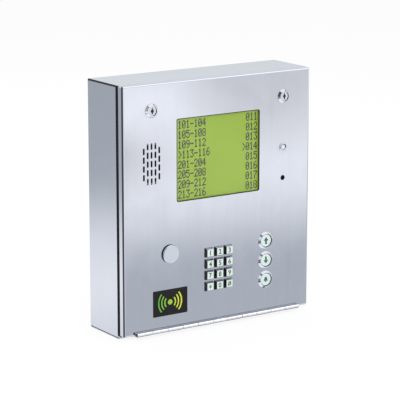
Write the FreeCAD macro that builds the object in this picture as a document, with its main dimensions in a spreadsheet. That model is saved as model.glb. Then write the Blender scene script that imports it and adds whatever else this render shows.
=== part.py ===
import FreeCAD, Part
import math
import os
import re
import Sketcher
from FreeCAD import Placement, Rotation, Vector

# Telephone entry cabinet, in millimetres
# The origin is the middle of the back face, on the wall. X points right, Z points up and the
# door faces -Y. A depth is a distance from the wall, so what lies at depth d is at Y = -d.

# Driving sizes, one cell each in the sheet called Sizes
sizes = {
    # cabinet
    "boxWidth": 343.0,
    "boxHeight": 388.0,
    "bodyDepth": 80.0,            # wall to the front edge of the side panels
    "boxSheet": 1.5,
    "wrapBend": 3.0,              # outer radius where the back turns into top and bottom
    "sideBend": 2.5,
    "sideFlange": 12.0,
    "frameWidth": 19.5,           # flange ring that the seal lies on
    "frameCorner": 3.0,
    "lipGap": 0.3,                # rain lip to the door's edge
    "wallHoleWide": 254.0,
    "wallHoleTall": 305.0,
    "wallHoleRadius": 3.5,
    # seal
    "sealWidth": 9.0,
    "sealInset": 3.5,
    "sealGap": 0.3,
    "sealRound": 1.8,
    # door pan
    "doorGap": 7.4,               # open groove between the side panels and the door
    "doorDepth": 10.6,
    "doorSheet": 2.0,
    "doorBend": 3.0,
    "doorLip": 12.0,
    "sillGap": 5.4,               # bottom of the cabinet to the bottom of the door
    # piano hinge
    "hingeMargin": 20.25,
    "knuckleRadius": 3.2,
    "knuckleGap": 0.8,
    "pinRadius": 1.6,
    "pinFit": 0.05,
    "hingeRise": 2.2,             # bottom of the door to the pin, so that the barrel covers the edge
    "leafThick": 1.0,
    "leafNotch": 0.4,
    "leafPlay": 0.3,              # between the two leaves when the door is shut
    "neckThick": 1.5,             # fixed leaf where it turns up into its knuckles
    "leafLap": 18.0,              # how far the fixed leaf lies on the bottom sheet
    "leafSide": 0.3,
    "barrelGap": 0.3,
    # places on the door, from its edges
    "columnInset": 50.75,         # locks, speaker, indicator and microphone
    "lowerInset": 83.0,           # plug, reader and round buttons
    "lockDrop": 40.7,
    "displayDrop": 57.1,
    "microphoneDrop": 169.5,
    "keypadRise": 85.3,
    "readerRise": 44.1,
    "plugRise": 119.5,
    # locks
    "lockHeadRadius": 11.0,
    "lockHeadProud": 4.0,
    "lockBevel": 2.8,
    "lockEdge": 0.8,
    "lockBarrelRadius": 9.2,
    "holeFit": 0.2,
    "coreHeadRadius": 7.2,
    "coreRadius": 6.2,
    "coreFit": 0.3,
    "coreHeadThick": 1.8,
    "coreSink": 1.2,
    "keywayWidth": 2.0,
    "keywayHeight": 9.4,
    "keywayEye": 2.7,             # radius of the round hole in its middle
    "keywayDepth": 9.0,
    "camLength": 27.0,
    "camWidth": 14.0,
    "camEye": 8.4,
    "camThick": 2.5,
    "camGap": 1.0,                # cam to the back of the seal frame
    "camFit": 0.1,
    "tailGap": 0.5,
    "tailSide": 6.5,
    "tailHeadRadius": 5.0,
    "tailHeadThick": 1.4,
    # display
    "displayWidth": 152.5,
    "displayHeight": 127.7,
    "displayCorner": 3.0,
    "windowMargin": 6.5,
    "windowThick": 3.0,
    "bezelLip": 0.8,
    "bezelWall": 1.6,
    "bezelDepth": 8.5,
    "bezelOverlap": 3.0,          # how far the glass runs behind the bezel's lip
    "glassFit": 0.4,
    "glassThick": 2.8,
    "boardThick": 1.6,
    "boardMargin": 5.6,
    "displayStudDrop": 6.0,
    # weld studs and their nuts
    "studRadius": 2.0,
    "studFit": 0.2,
    "studSpare": 1.0,
    "studClear": 0.4,             # stud to the bezel beside it
    "studNutWidth": 7.0,
    "studNutThick": 3.2,
    "threadFit": 0.05,
    # speaker
    "slotWidth": 3.2,
    "slotHeight": 10.0,
    "slotPitchWide": 6.8,
    "slotPitchTall": 13.3,
    "speakerWidth": 60.0,
    "speakerHeight": 66.0,
    "speakerStudInset": 4.0,
    "speakerFlange": 1.2,
    "surroundThick": 0.6,
    "surroundRadius": 29.0,
    "coneRadius": 24.0,
    "coneDepth": 8.5,
    "coilRadius": 6.5,
    "basketRadius": 27.0,
    "basketWall": 1.2,
    "basketDepth": 15.0,
    "basketFootRadius": 15.0,
    "basketWindowWidth": 15.0,
    "basketWindowHeight": 8.0,
    "magnetRadius": 16.0,
    "magnetThick": 10.0,
    # keypad
    "keyPitch": 17.8,
    "keyBase": 14.2,
    "keyFace": 11.0,
    "keyProud": 4.6,
    "keyBevel": 2.8,
    "keyFit": 0.4,
    "keyFlange": 1.0,
    "keyFlangeThick": 1.4,
    "keySlack": 0.2,
    "keyTravel": 1.0,
    "stemRadius": 2.9,
    "guideRadius": 3.6,
    "domeRadius": 2.6,
    "domeHeight": 1.8,
    "pressGap": 0.1,
    "housingMarginWide": 10.5,
    "housingMarginTall": 11.0,
    "housingRim": 8.5,
    "housingPlate": 4.0,
    "matThick": 1.2,
    "keypadStudInset": 4.5,
    # round buttons
    "buttonPitch": 31.3,
    "ringRadius": 13.8,
    "ringProud": 3.2,
    "ringBevel": 2.8,
    "ringEdge": 0.6,
    "sleeveRadius": 12.5,
    "sleeveWall": 1.0,
    "sleeveLength": 10.0,
    "ringShoulder": 1.5,
    "capRadius": 10.1,
    "capFit": 0.4,
    "capSink": 1.2,
    "capChamfer": 0.5,
    "capFlange": 0.9,
    "capFlangeThick": 1.4,
    "capSlack": 0.2,
    "capStemRadius": 3.0,
    "buttonTravel": 1.5,
    "switchInsert": 3.0,
    "switchDepth": 11.0,
    "plungerRadius": 2.2,
    "plungerLength": 2.0,
    "tagWidth": 4.8,
    "tagThick": 0.8,
    "tagLength": 7.0,
    "switchTagReach": 6.0,        # solder tags from the switch's axis
    # nuts behind the door panel
    "sleeveNutWidth": 28.0,
    "lockNutWidth": 24.0,
    "plugNutWidth": 24.0,
    "indicatorNutWidth": 15.0,
    "panelNutThick": 4.0,
    # microphone
    "microphoneRadius": 4.0,
    "bootRadius": 9.0,
    "bootDepth": 9.5,
    "bootFront": 2.0,
    "capsuleRadius": 4.85,
    "capsuleFit": 0.15,
    "capsuleDepth": 6.0,
    # indicator
    "indicatorRadius": 5.4,
    "indicatorFlange": 7.2,
    "indicatorProud": 1.2,
    "indicatorChamfer": 0.6,
    "indicatorDepth": 10.0,
    "lensRadius": 4.2,
    "lensFit": 0.1,
    "lensDome": 2.4,
    # blanking plug
    "plugRadius": 14.2,
    "plugProud": 4.0,
    "plugChamfer": 0.8,
    "plugShankRadius": 9.5,
    "plugShankLength": 8.0,
    # reader
    "readerWidth": 62.0,
    "readerHeight": 40.5,
    "readerCorner": 1.5,
    "readerFit": 0.15,
    "readerSink": 0.4,
    "readerFlange": 3.0,
    "readerFlangeThick": 1.5,
    "readerBodyWidth": 64.0,
    "readerBodyHeight": 42.0,
    "readerBodyDepth": 12.0,
    "readerEarWidth": 12.0,
    "readerEarHeight": 16.0,
    "readerEarThick": 2.0,
    # main board
    "mainBoardWidth": 220.0,
    "mainBoardHeight": 150.0,
    "mainBoardDrop": 139.0,
    "standoffLength": 10.0,
    "standoffWidth": 6.0,
    "standoffInset": 8.0,
    "screwRadius": 1.5,
    "screwFit": 0.1,
    "screwHeadRadius": 2.8,
    "screwHeadThick": 2.0,
    "screwLength": 6.0,
    "stripWidth": 61.0,
    "stripHeight": 10.0,
    "stripDepth": 12.0,
    "stripInset": 8.0,
    "stripPitch": 5.08,
    "stripHole": 3.4,
    "stripSpacing": 80.0,
    "relayWidth": 19.0,
    "relayHeight": 15.5,
    "relayDepth": 15.5,
    "relayPitch": 28.0,
    "relayDrop": 40.0,
    "processorWidth": 30.0,
    "processorThick": 3.6,
    "chipWidth": 9.0,
    "chipHeight": 34.0,
    "chipThick": 4.0,
    "chipPitch": 24.0,
    "chipRise": 35.0,
    "processorOffset": 60.0,
    # battery
    "batteryWidth": 97.0,
    "batteryHeight": 52.0,
    "batteryDepth": 43.0,
    "batteryInset": 76.5,
    "batteryRise": 74.0,
    "batteryFit": 0.5,
    "batteryCorner": 2.0,
    "batteryTagInset": 8.0,
    "traySheet": 1.2,
    "trayLip": 12.0,
    "trayBack": 58.0,
    # cable bushing
    "bushingInset": 81.5,
    "bushingRise": 74.0,
    "bushingHoleRadius": 11.1,
    "bushingFit": 0.1,
    "bushingBore": 8.0,
    "bushingFlangeRadius": 14.0,
    "bushingFlangeThick": 2.5,
}

# Places worked out from the sizes, one formula each in the sheet called Places
places = {
    "halfWidth": "boxWidth / 2",
    "halfHeight": "boxHeight / 2",
    "frameBack": "bodyDepth - boxSheet",
    "doorBack": "bodyDepth + doorGap",
    "faceDepth": "bodyDepth + doorGap + doorDepth",
    "panelBack": "bodyDepth + doorGap + doorDepth - doorSheet",
    "doorHeight": "boxHeight - sillGap",
    "doorCentre": "sillGap / 2",
    "doorLow": "sillGap - boxHeight / 2",
    "hingeDepth": "faceDepth + barrelGap + knuckleRadius",
    "hingeLevel": "doorLow + hingeRise",
    "hingeLength": "boxWidth - 2 * hingeMargin",
    "leafFront": "hingeDepth - knuckleRadius - leafNotch",
    "leafStep": "doorBack + lipGap",
    "leafLow": "boxSheet - halfHeight",
    "leafTop": "doorLow - leafThick - leafPlay",
    "columnX": "boxWidth / 2 - columnInset",
    "lowerX": "boxWidth / 2 - lowerInset",
    "lockLevel": "halfHeight - lockDrop",
    "displayLevel": "halfHeight - displayDrop - displayHeight / 2",
    "microphoneLevel": "halfHeight - microphoneDrop",
    "keypadLevel": "doorLow + keypadRise",
    "readerLevel": "doorLow + readerRise",
    "plugLevel": "doorLow + plugRise",
    # lock, from the front to the back
    "lockFront": "faceDepth + lockHeadProud",
    "coreFront": "lockFront - coreSink",
    "coreShoulder": "coreFront - coreHeadThick",
    "camFront": "frameBack - camGap",
    "camBack": "camFront - camThick",
    "lockBack": "camFront + tailGap",
    # display stack
    "windowBack": "panelBack - windowThick",
    "glassFront": "windowBack - bezelLip",
    "glassBack": "glassFront - glassThick",
    "displayBoardFront": "windowBack - bezelDepth",
    "displayBoardBack": "displayBoardFront - boardThick",
    "windowWidth": "displayWidth + 2 * windowMargin",
    "windowHeight": "displayHeight + 2 * windowMargin",
    "pocketWidth": "windowWidth - 2 * bezelWall",
    "pocketHeight": "windowHeight - 2 * bezelWall",
    "displayStudX": "windowWidth / 2 + studRadius + studFit + studClear",
    "displayStudZ": "displayHeight / 2 - displayStudDrop",
    # keypad stack
    "keyFlangeFront": "panelBack - keySlack",
    "keyFlangeBack": "keyFlangeFront - keyFlangeThick",
    "housingFront": "keyFlangeBack - keyTravel - keySlack",
    "housingBack": "housingFront - housingPlate",
    "matBack": "housingBack - matThick",
    "keypadBoardBack": "matBack - boardThick",
    "domeFront": "housingBack + domeHeight",
    "stemBack": "domeFront + keyTravel + pressGap",
    "keyFront": "faceDepth + keyProud",
    "keyShoulder": "keyFront - keyBevel",
    "housingWidth": "3 * keyPitch + 2 * housingMarginWide",
    "housingHeight": "4 * keyPitch + 2 * housingMarginTall",
    "keypadStudX": "housingWidth / 2 - keypadStudInset",
    "keypadStudZ": "housingHeight / 2 - keypadStudInset",
    # round button, from the front to the back
    "ringFront": "faceDepth + ringProud",
    "ringStep": "faceDepth - ringShoulder",
    "sleeveBack": "panelBack - sleeveLength",
    "capFront": "ringFront - capSink",
    "capFlangeFront": "ringStep - capSlack",
    "capFlangeBack": "capFlangeFront - capFlangeThick",
    "switchFront": "sleeveBack + switchInsert",
    "switchBack": "switchFront - switchDepth",
    "plungerFront": "switchFront + plungerLength",
    "capStemBack": "plungerFront + buttonTravel + pressGap",
    "panelNutBack": "panelBack - panelNutThick",
    # speaker stack
    "speakerStudX": "speakerWidth / 2 - speakerStudInset",
    "speakerStudZ": "speakerHeight / 2 - speakerStudInset",
    "speakerFront": "panelBack - surroundThick",
    "flangeBack": "speakerFront - speakerFlange",
    "footFront": "flangeBack - basketDepth + basketWall",
    "footBack": "flangeBack - basketDepth",
    # reader stack
    "readerFront": "faceDepth - readerSink",
    "readerFlangeBack": "panelBack - readerFlangeThick",
    "readerEarBack": "readerFlangeBack - readerEarThick",
    "readerStudX": "readerBodyWidth / 2 + readerEarWidth / 2",
    # inside the cabinet
    "mainBoardLevel": "halfHeight - mainBoardDrop",
    "mainBoardBack": "boxSheet + standoffLength",
    "mainBoardFront": "boxSheet + standoffLength + boardThick",
    "standoffX": "mainBoardWidth / 2 - standoffInset",
    "standoffZ": "mainBoardHeight / 2 - standoffInset",
    "batteryX": "batteryInset - boxWidth / 2",
    "shelfTop": "batteryRise - boxHeight / 2",
    "batteryBack": "boxSheet + traySheet",
    "batteryFront": "batteryBack + batteryDepth",
    "trayFront": "batteryFront + batteryFit + traySheet",
    "bushingX": "boxWidth / 2 - bushingInset",
    "bushingLevel": "bushingRise - boxHeight / 2",
}

knuckles = 11                     # those with even numbers from 0 belong to the cabinet's leaf
middle_slots = 5                  # slots in each of the three middle columns of the grille
outer_slots = 4
strip_ways = 12
relay_count = 4
chip_count = 3
key_rows = (("1", "2", "3"), ("4", "5", "6"), ("7", "8", "9"), ("star", "0", "hash"))
along_x, along_y, along_z = Vector(1, 0, 0), Vector(0, 1, 0), Vector(0, 0, 1)

doc = FreeCAD.newDocument("EntrySystem")
nodes = []


def fill_sheet(name, cells, start):
    sheet = doc.addObject("Spreadsheet::Sheet", name)
    for row, (alias, content) in enumerate(cells.items(), 1):
        sheet.set("A%d" % row, alias)
        sheet.set("B%d" % row, start + str(content))
        sheet.setAlias("B%d" % row, alias)
    return sheet


def in_sheet(formula, own=""):
    # Put the name of its sheet before each alias in a formula
    def with_owner(match):
        word = match.group()
        if word in sizes:
            return "Sizes." + word
        if word in places:
            return own + word
        return word
    return re.sub("[A-Za-z]+", with_owner, formula)


fill_sheet("Sizes", sizes, "")
place_sheet = fill_sheet("Places", {name: in_sheet(text) for name, text in places.items()}, "=")
doc.recompute()


def number(formula):
    # What a formula is worth now, to start a sketch near its final shape
    value = place_sheet.evalExpression(in_sheet(formula, "Places."))
    return float(getattr(value, "Value", value))


def bind(thing, name, formula):
    thing.setExpression(name, in_sheet(formula, "Places."))


def put(thing, x, depth, z):
    bind(thing, "Placement.Base.x", x)
    bind(thing, "Placement.Base.y", "-(%s)" % depth)
    bind(thing, "Placement.Base.z", z)
    return thing


def keep(label, piece):
    piece.Label = label
    nodes.append(piece)


# Part primitives

def block(x, z, width, height, front, back):
    # A box centred at x and z, between two depths
    box = doc.addObject("Part::Box", "Block")
    bind(box, "Length", width)
    bind(box, "Width", "(%s) - (%s)" % (front, back))
    bind(box, "Height", height)
    return put(box, "(%s) - (%s) / 2" % (x, width), front, "(%s) - (%s) / 2" % (z, height))


def rod(x, z, radius, front, back):
    # A round bar square to the wall, between two depths
    bar = doc.addObject("Part::Cylinder", "Rod")
    bar.Placement = Placement(Vector(), Rotation(along_x, 90))
    bind(bar, "Radius", radius)
    bind(bar, "Height", "(%s) - (%s)" % (front, back))
    return put(bar, x, back, z)


def cross_rod(x, depth, z, radius, length):
    # A round bar along X, centred at x
    bar = doc.addObject("Part::Cylinder", "CrossRod")
    bar.Placement = Placement(Vector(), Rotation(along_y, 90))
    bind(bar, "Radius", radius)
    bind(bar, "Height", length)
    return put(bar, "(%s) - (%s) / 2" % (x, length), depth, z)


def hexagon(x, z, width, front, back):
    # A hexagonal bar square to the wall, measured across its flats
    bar = doc.addObject("Part::Prism", "Hexagon")
    bar.Polygon = 6
    bar.Placement = Placement(Vector(), Rotation(along_x, 90))
    bind(bar, "Circumradius", "(%s) / sqrt(3)" % width)
    bind(bar, "Height", "(%s) - (%s)" % (front, back))
    return put(bar, x, back, z)


def fuse(shapes):
    joined = doc.addObject("Part::MultiFuse", "Joined")
    joined.Shapes = shapes
    joined.Refine = True
    return joined


def cut(base, tools):
    rest = doc.addObject("Part::Cut", "Cut")
    rest.Base = base
    rest.Tool = tools[0] if len(tools) == 1 else fuse(tools)
    return rest


def group(pieces):
    together = doc.addObject("Part::Compound", "Group")
    together.Links = pieces
    return together


def nut(x, z, width, hole, front, back):
    return cut(hexagon(x, z, width, front, back), [rod(x, z, hole, front, back)])


# Sketched bodies

def new_body(x="0", z="0"):
    body = doc.addObject("PartDesign::Body", "Body")
    return put(body, x, "0", z)


def origin_part(body, role):
    return [part for part in body.Origin.OriginFeatures if part.Role == role][0]


def add_feature(body, kind):
    feature = body.newObject("PartDesign::" + kind, kind)
    body.Tip = feature
    return feature


def sketch_on(body, role, x="0", y="0", off="0"):
    sketch = body.newObject("Sketcher::SketchObject", "Sketch")
    sketch.AttachmentSupport = [(origin_part(body, role), "")]
    sketch.MapMode = "FlatFace"
    bind(sketch, "AttachmentOffset.Base.x", x)
    bind(sketch, "AttachmentOffset.Base.y", y)
    bind(sketch, "AttachmentOffset.Base.z", off)
    return sketch


def front_sketch(body, depth, x="0", z="0"):
    # A sketch parallel to the wall at a depth, with its own origin at x and z
    return sketch_on(body, "XZ_Plane", x, z, depth)


def set_size(sketch, kind, where, formula):
    index = sketch.addConstraint(Sketcher.Constraint(kind, *where, number(formula)))
    bind(sketch, "Constraints[%d]" % index, formula)


def chain(sketch, first, count):
    # Join the ends of consecutive sides
    for side in range(count):
        ends = (first + side, 2, first + (side + 1) % count, 1)
        sketch.addConstraint(Sketcher.Constraint("Coincident", *ends))


def rectangle(sketch, width, height):
    # A rectangle about the sketch's origin
    right, top = number(width) / 2, number(height) / 2
    corners = [Vector(-right, -top, 0), Vector(right, -top, 0), Vector(right, top, 0), Vector(-right, top, 0)]
    first = sketch.GeometryCount
    for start, end in zip(corners, corners[1:] + corners[:1]):
        sketch.addGeometry(Part.LineSegment(start, end))
    chain(sketch, first, 4)
    for side, way in ((0, "Horizontal"), (1, "Vertical"), (2, "Horizontal"), (3, "Vertical")):
        sketch.addConstraint(Sketcher.Constraint(way, first + side))
    sketch.addConstraint(Sketcher.Constraint("Symmetric", first, 1, first + 1, 2, -1, 1))
    set_size(sketch, "DistanceX", (first, 1, first, 2), width)
    set_size(sketch, "DistanceY", (first + 1, 1, first + 1, 2), height)
    return sketch


def circle(sketch, radius):
    # A circle about the sketch's origin
    index = sketch.addGeometry(Part.Circle(Vector(), Vector(0, 0, 1), number(radius)))
    sketch.addConstraint(Sketcher.Constraint("Coincident", index, 3, -1, 1))
    set_size(sketch, "Radius", (index,), radius)
    return sketch


def upright_slot(sketch, width, height):
    # A slot with round ends about the sketch's origin
    radius = number(width) / 2
    reach = number(height) / 2 - radius
    upper = Part.Circle(Vector(0, reach, 0), Vector(0, 0, 1), radius)
    lower = Part.Circle(Vector(0, -reach, 0), Vector(0, 0, 1), radius)
    sketch.addGeometry(Part.ArcOfCircle(upper, 0, math.pi))
    sketch.addGeometry(Part.LineSegment(Vector(-radius, reach, 0), Vector(-radius, -reach, 0)))
    sketch.addGeometry(Part.ArcOfCircle(lower, math.pi, 2 * math.pi))
    sketch.addGeometry(Part.LineSegment(Vector(radius, -reach, 0), Vector(radius, reach, 0)))
    for ends in ((0, 2, 1, 1), (1, 2, 2, 1), (2, 2, 3, 1), (3, 2, 0, 1)):
        sketch.addConstraint(Sketcher.Constraint("Tangent", *ends))
    sketch.addConstraint(Sketcher.Constraint("Vertical", 1))
    sketch.addConstraint(Sketcher.Constraint("Symmetric", 0, 3, 2, 3, -1, 1))
    set_size(sketch, "Radius", (0,), "%s / 2" % width)
    set_size(sketch, "DistanceY", (2, 3, 0, 3), "%s - %s" % (height, width))
    return sketch


def outline(sketch, points):
    # A closed outline of straight sides; a coordinate written "0" lies on the sketch's axis
    corners = [Vector(number(across), number(up), 0) for across, up in points]
    for start, end in zip(corners, corners[1:] + corners[:1]):
        sketch.addGeometry(Part.LineSegment(start, end))
    chain(sketch, 0, len(corners))
    for side, (across, up) in enumerate(points):
        for kind, formula, axis in (("DistanceX", across, -2), ("DistanceY", up, -1)):
            if formula == "0":
                sketch.addConstraint(Sketcher.Constraint("PointOnObject", side, 1, axis))
            else:
                set_size(sketch, kind, (-1, 1, side, 1), formula)
    return sketch


def pad(body, sketch, length, to_wall=False):
    feature = add_feature(body, "Pad")
    feature.Profile = sketch
    feature.Reversed = to_wall
    bind(feature, "Length", length)
    return feature


def pocket(body, sketch, length):
    # A cut from the sketch towards the wall
    feature = add_feature(body, "Pocket")
    feature.Profile = sketch
    bind(feature, "Length", length)
    return feature


def line_step(body, role, pitch, count):
    feature = body.newObject("PartDesign::LinearPattern", "LinearPattern")
    feature.Direction = (origin_part(body, role), [""])
    feature.Mode = "Spacing"
    bind(feature, "Offset", pitch)
    feature.Occurrences = count
    return feature


def in_line(body, originals, role, pitch, count):
    # Copies in one line along an axis of the body
    feature = line_step(body, role, pitch, count)
    feature.Originals = originals
    body.Tip = feature


def grid(body, original, x_pitch, x_count, z_pitch, z_count):
    # Copies in lines along X and Z
    steps = [line_step(body, "X_Axis", x_pitch, x_count), line_step(body, "Z_Axis", z_pitch, z_count)]
    feature = add_feature(body, "MultiTransform")
    feature.Originals = [original]
    feature.Transformations = steps


def is_straight(edge, direction):
    # True for a straight edge that runs along a direction
    ends = [corner.Point for corner in edge.Vertexes]
    return len(ends) == 2 and abs((ends[1] - ends[0]).dot(direction)) > 0.999 * edge.Length


def round_edges(body, radius, chosen):
    # Round the edges of the body's last feature that a test picks
    doc.recompute()
    base = body.Tip
    names = ["Edge%d" % (i + 1) for i, edge in enumerate(base.Shape.Edges) if chosen(edge.CenterOfMass, edge)]
    feature = add_feature(body, "Fillet")
    feature.Base = (base, names)
    bind(feature, "Radius", radius)
    return feature


def near(value, formula):
    return abs(value - number(formula)) < 0.01


def slab(width, height, front, back, x="0", z="0"):
    # A body that starts as a flat plate about x and z
    body = new_body(x, z)
    plate = rectangle(front_sketch(body, back), width, height)
    pad(body, plate, "(%s) - (%s)" % (front, back))
    return body


def turned(points, x="0", z="0"):
    # A body turned about an axis square to the wall, from (radius, depth) corners
    body = new_body(x, z)
    half = outline(sketch_on(body, "XY_Plane"), [(radius, "-(%s)" % depth) for radius, depth in points])
    feature = add_feature(body, "Revolution")
    feature.Profile = half
    feature.ReferenceAxis = (half, ["V_Axis"])
    feature.Angle = 360
    return body


# Cabinet

def make_box_wrap():
    body = new_body()
    top, inner = "halfHeight", "halfHeight - boxSheet"
    lip, sill = "-(doorBack - lipGap)", "-bodyDepth"
    side = outline(sketch_on(body, "YZ_Plane"), [
        (lip, top), ("0", top), ("0", "-(%s)" % top), (sill, "-(%s)" % top),
        (sill, "-(%s)" % inner), ("-boxSheet", "-(%s)" % inner), ("-boxSheet", inner), (lip, inner)])
    pad(body, side, "boxWidth").SideType = "Symmetric"
    round_edges(body, "wrapBend", lambda middle, edge: is_straight(edge, along_x) and near(middle.y, "0"))
    round_edges(body, "wrapBend - boxSheet",
                lambda middle, edge: is_straight(edge, along_x) and near(middle.y, "-boxSheet"))
    hole = circle(front_sketch(body, "boxSheet", "-wallHoleWide / 2", "-wallHoleTall / 2"), "wallHoleRadius")
    grid(body, pocket(body, hole, "boxSheet"), "wallHoleWide", 2, "wallHoleTall", 2)
    cable = circle(front_sketch(body, "boxSheet", "bushingX", "bushingLevel"), "bushingHoleRadius")
    pocket(body, cable, "boxSheet")
    keep("box_wrap", body)


def make_side_panel(label, sign):
    # A channel whose flanges lie under the top and bottom sheets
    body = new_body("%s * halfWidth" % sign)
    high = "halfHeight - boxSheet"
    inward = "-1 * %s * " % sign
    flange, web = inward + "sideFlange", inward + "boxSheet"
    low, inner = "-(%s)" % high, "%s - boxSheet" % high
    channel = outline(front_sketch(body, "boxSheet"), [
        ("0", low), (flange, low), (flange, "-(%s)" % inner), (web, "-(%s)" % inner),
        (web, inner), (flange, inner), (flange, high), ("0", high)])
    pad(body, channel, "bodyDepth - boxSheet")
    relief = front_sketch(body, "bodyDepth", "%s + %s(sideFlange / 2)" % (web, inward))
    pocket(body, rectangle(relief, "sideFlange", "boxHeight"), "boxSheet")
    round_edges(body, "sideBend", lambda middle, edge: is_straight(edge, along_y) and near(middle.x, "0"))
    for end in (-1, 1):
        # Clear of the inside of the bends at the back
        notch = front_sketch(body, "wrapBend", inward + "sideFlange / 2", "%d * (halfHeight - 1.5 * boxSheet)" % end)
        pocket(body, rectangle(notch, "sideFlange", "boxSheet"), "wrapBend - boxSheet")
    keep(label, body)


def make_gasket_frame():
    body = slab("boxWidth - 2 * boxSheet", "boxHeight - 2 * boxSheet", "bodyDepth", "frameBack")
    hole = rectangle(front_sketch(body, "bodyDepth"), "boxWidth - 2 * (boxSheet + frameWidth)",
                     "boxHeight - 2 * (boxSheet + frameWidth)")
    pocket(body, hole, "boxSheet")
    round_edges(body, "frameCorner", lambda middle, edge: is_straight(edge, along_y)
                and abs(middle.x) < number("halfWidth - frameWidth"))
    notch = front_sketch(body, "bodyDepth", "0", "boxSheet + leafThick / 2 - halfHeight")
    pocket(body, rectangle(notch, "hingeLength + 2 * leafSide", "leafThick"), "boxSheet")
    keep("gasket_frame", body)


def make_door_gasket():
    body = slab("boxWidth - 2 * sealInset", "boxHeight - 2 * sealInset", "doorBack - sealGap", "bodyDepth")
    hole = rectangle(front_sketch(body, "doorBack - sealGap"), "boxWidth - 2 * (sealInset + sealWidth)",
                     "boxHeight - 2 * (sealInset + sealWidth)")
    pocket(body, hole, "doorGap - sealGap")
    round_edges(body, "sealRound", lambda middle, edge: near(middle.y, "-(doorBack - sealGap)"))
    keep("door_gasket", body)


def strip(x, length, low, top, front, back):
    return block(x, "(%s + %s) / 2" % (low, top), length, "%s - (%s)" % (top, low), front, back)


def make_hinge_leaf(label, first, strips, tab):
    # Strips along the whole leaf, its knuckles and their tabs, bored for the pin
    pitch = "hingeLength / %d" % knuckles
    pieces = [strip("0", "hingeLength", *edges) for edges in strips]
    for index in range(first, knuckles, 2):
        middle = "%s * %.1f - hingeLength / 2" % (pitch, index + 0.5)
        length = "%s - knuckleGap" % pitch
        pieces.append(cross_rod(middle, "hingeDepth", "hingeLevel", "knuckleRadius", length))
        pieces.append(strip(middle, length, *tab))
    bore = cross_rod("0", "hingeDepth", "hingeLevel", "pinRadius + pinFit", "hingeLength")
    keep(label, cut(fuse(pieces), [bore]))


def make_hinge():
    # The fixed leaf steps up in front of the seal and runs under the door's leaf
    foot = ("leafLow", "leafLow + leafThick", "leafStep + leafThick", "bodyDepth - leafLap")
    step = ("leafLow", "leafTop", "leafStep + leafThick", "leafStep")
    shelf = ("leafTop - leafThick", "leafTop", "leafFront", "leafStep")
    neck = ("leafTop - leafThick", "hingeLevel - leafThick", "leafFront + neckThick", "leafFront")
    make_hinge_leaf("box_hinge_leaf", 0, (foot, step, shelf), neck)
    plate = ("doorLow - leafThick", "doorLow", "leafFront - leafNotch", "leafStep")
    tab = ("doorLow - leafThick", "doorLow", "hingeDepth", "leafFront - leafNotch")
    make_hinge_leaf("door_hinge_leaf", 1, (plate,), tab)
    keep("hinge_pin", cross_rod("0", "hingeDepth", "hingeLevel", "pinRadius", "hingeLength - knuckleGap"))


# Inside the cabinet

def standoff_places():
    return [("%d * standoffX" % column, "mainBoardLevel + %d * standoffZ" % row)
            for column in (-1, 1) for row in (-1, 0, 1)]


def make_main_board():
    plate = block("0", "mainBoardLevel", "mainBoardWidth", "mainBoardHeight", "mainBoardFront", "mainBoardBack")
    holes = [rod(x, z, "screwRadius + screwFit", "mainBoardFront", "mainBoardBack") for x, z in standoff_places()]
    keep("main_board", cut(plate, holes))


def make_board_fixings():
    pieces = []
    for x, z in standoff_places():
        bore = rod(x, z, "screwRadius + threadFit", "mainBoardBack", "mainBoardBack - screwLength")
        pieces.append(cut(hexagon(x, z, "standoffWidth", "mainBoardBack", "boxSheet"), [bore]))
        shank = rod(x, z, "screwRadius", "mainBoardFront", "mainBoardFront - screwLength")
        head = rod(x, z, "screwHeadRadius", "mainBoardFront + screwHeadThick", "mainBoardFront")
        pieces.append(fuse([shank, head]))
    keep("board_fixings", group(pieces))


def make_terminal_blocks():
    strips = []
    level = "mainBoardLevel - mainBoardHeight / 2 + stripInset"
    for side in (-1, 1):
        body = slab("stripWidth", "stripHeight", "mainBoardFront + stripDepth", "mainBoardFront",
                    "%d * stripSpacing / 2" % side, level)
        start = "-stripPitch * %.1f" % ((strip_ways - 1) / 2)
        screw = circle(front_sketch(body, "mainBoardFront + stripDepth", start), "stripHole / 2")
        in_line(body, [pocket(body, screw, "stripHole")], "X_Axis", "stripPitch", strip_ways)
        entry = sketch_on(body, "XY_Plane", start, "-(mainBoardFront + stripHole)", "-stripHeight / 2")
        wire_hole = pocket(body, circle(entry, "stripHole / 2"), "stripHole")
        wire_hole.Reversed = True
        in_line(body, [wire_hole], "X_Axis", "stripPitch", strip_ways)
        strips.append(body)
    keep("terminal_blocks", group(strips))


def make_relays():
    body = new_body("-relayPitch * %.1f" % ((relay_count - 1) / 2), "mainBoardLevel - relayDrop")
    case = rectangle(front_sketch(body, "mainBoardFront"), "relayWidth", "relayHeight")
    in_line(body, [pad(body, case, "relayDepth")], "X_Axis", "relayPitch", relay_count)
    keep("relays", body)


def make_microchips():
    level = "mainBoardLevel + chipRise"
    chips = [block("processorOffset", level, "processorWidth", "processorWidth",
                   "mainBoardFront + processorThick", "mainBoardFront")]
    for index in range(chip_count):
        chips.append(block("-chipPitch * %d" % index, level, "chipWidth", "chipHeight",
                           "mainBoardFront + chipThick", "mainBoardFront"))
    keep("microchips", group(chips))


def make_battery():
    level = "shelfTop + batteryHeight / 2"
    body = slab("batteryWidth", "batteryHeight", "batteryFront", "batteryBack", "batteryX", level)
    round_edges(body, "batteryCorner", lambda middle, edge: is_straight(edge, along_z) or is_straight(edge, along_y))
    for side in (-1, 1):
        tag = sketch_on(body, "XY_Plane", "%d * (batteryWidth / 2 - batteryTagInset)" % side,
                        "-(batteryBack + batteryDepth / 2)", "batteryHeight / 2")
        pad(body, rectangle(tag, "tagThick", "tagWidth"), "tagLength")
    keep("backup_battery", body)


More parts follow.
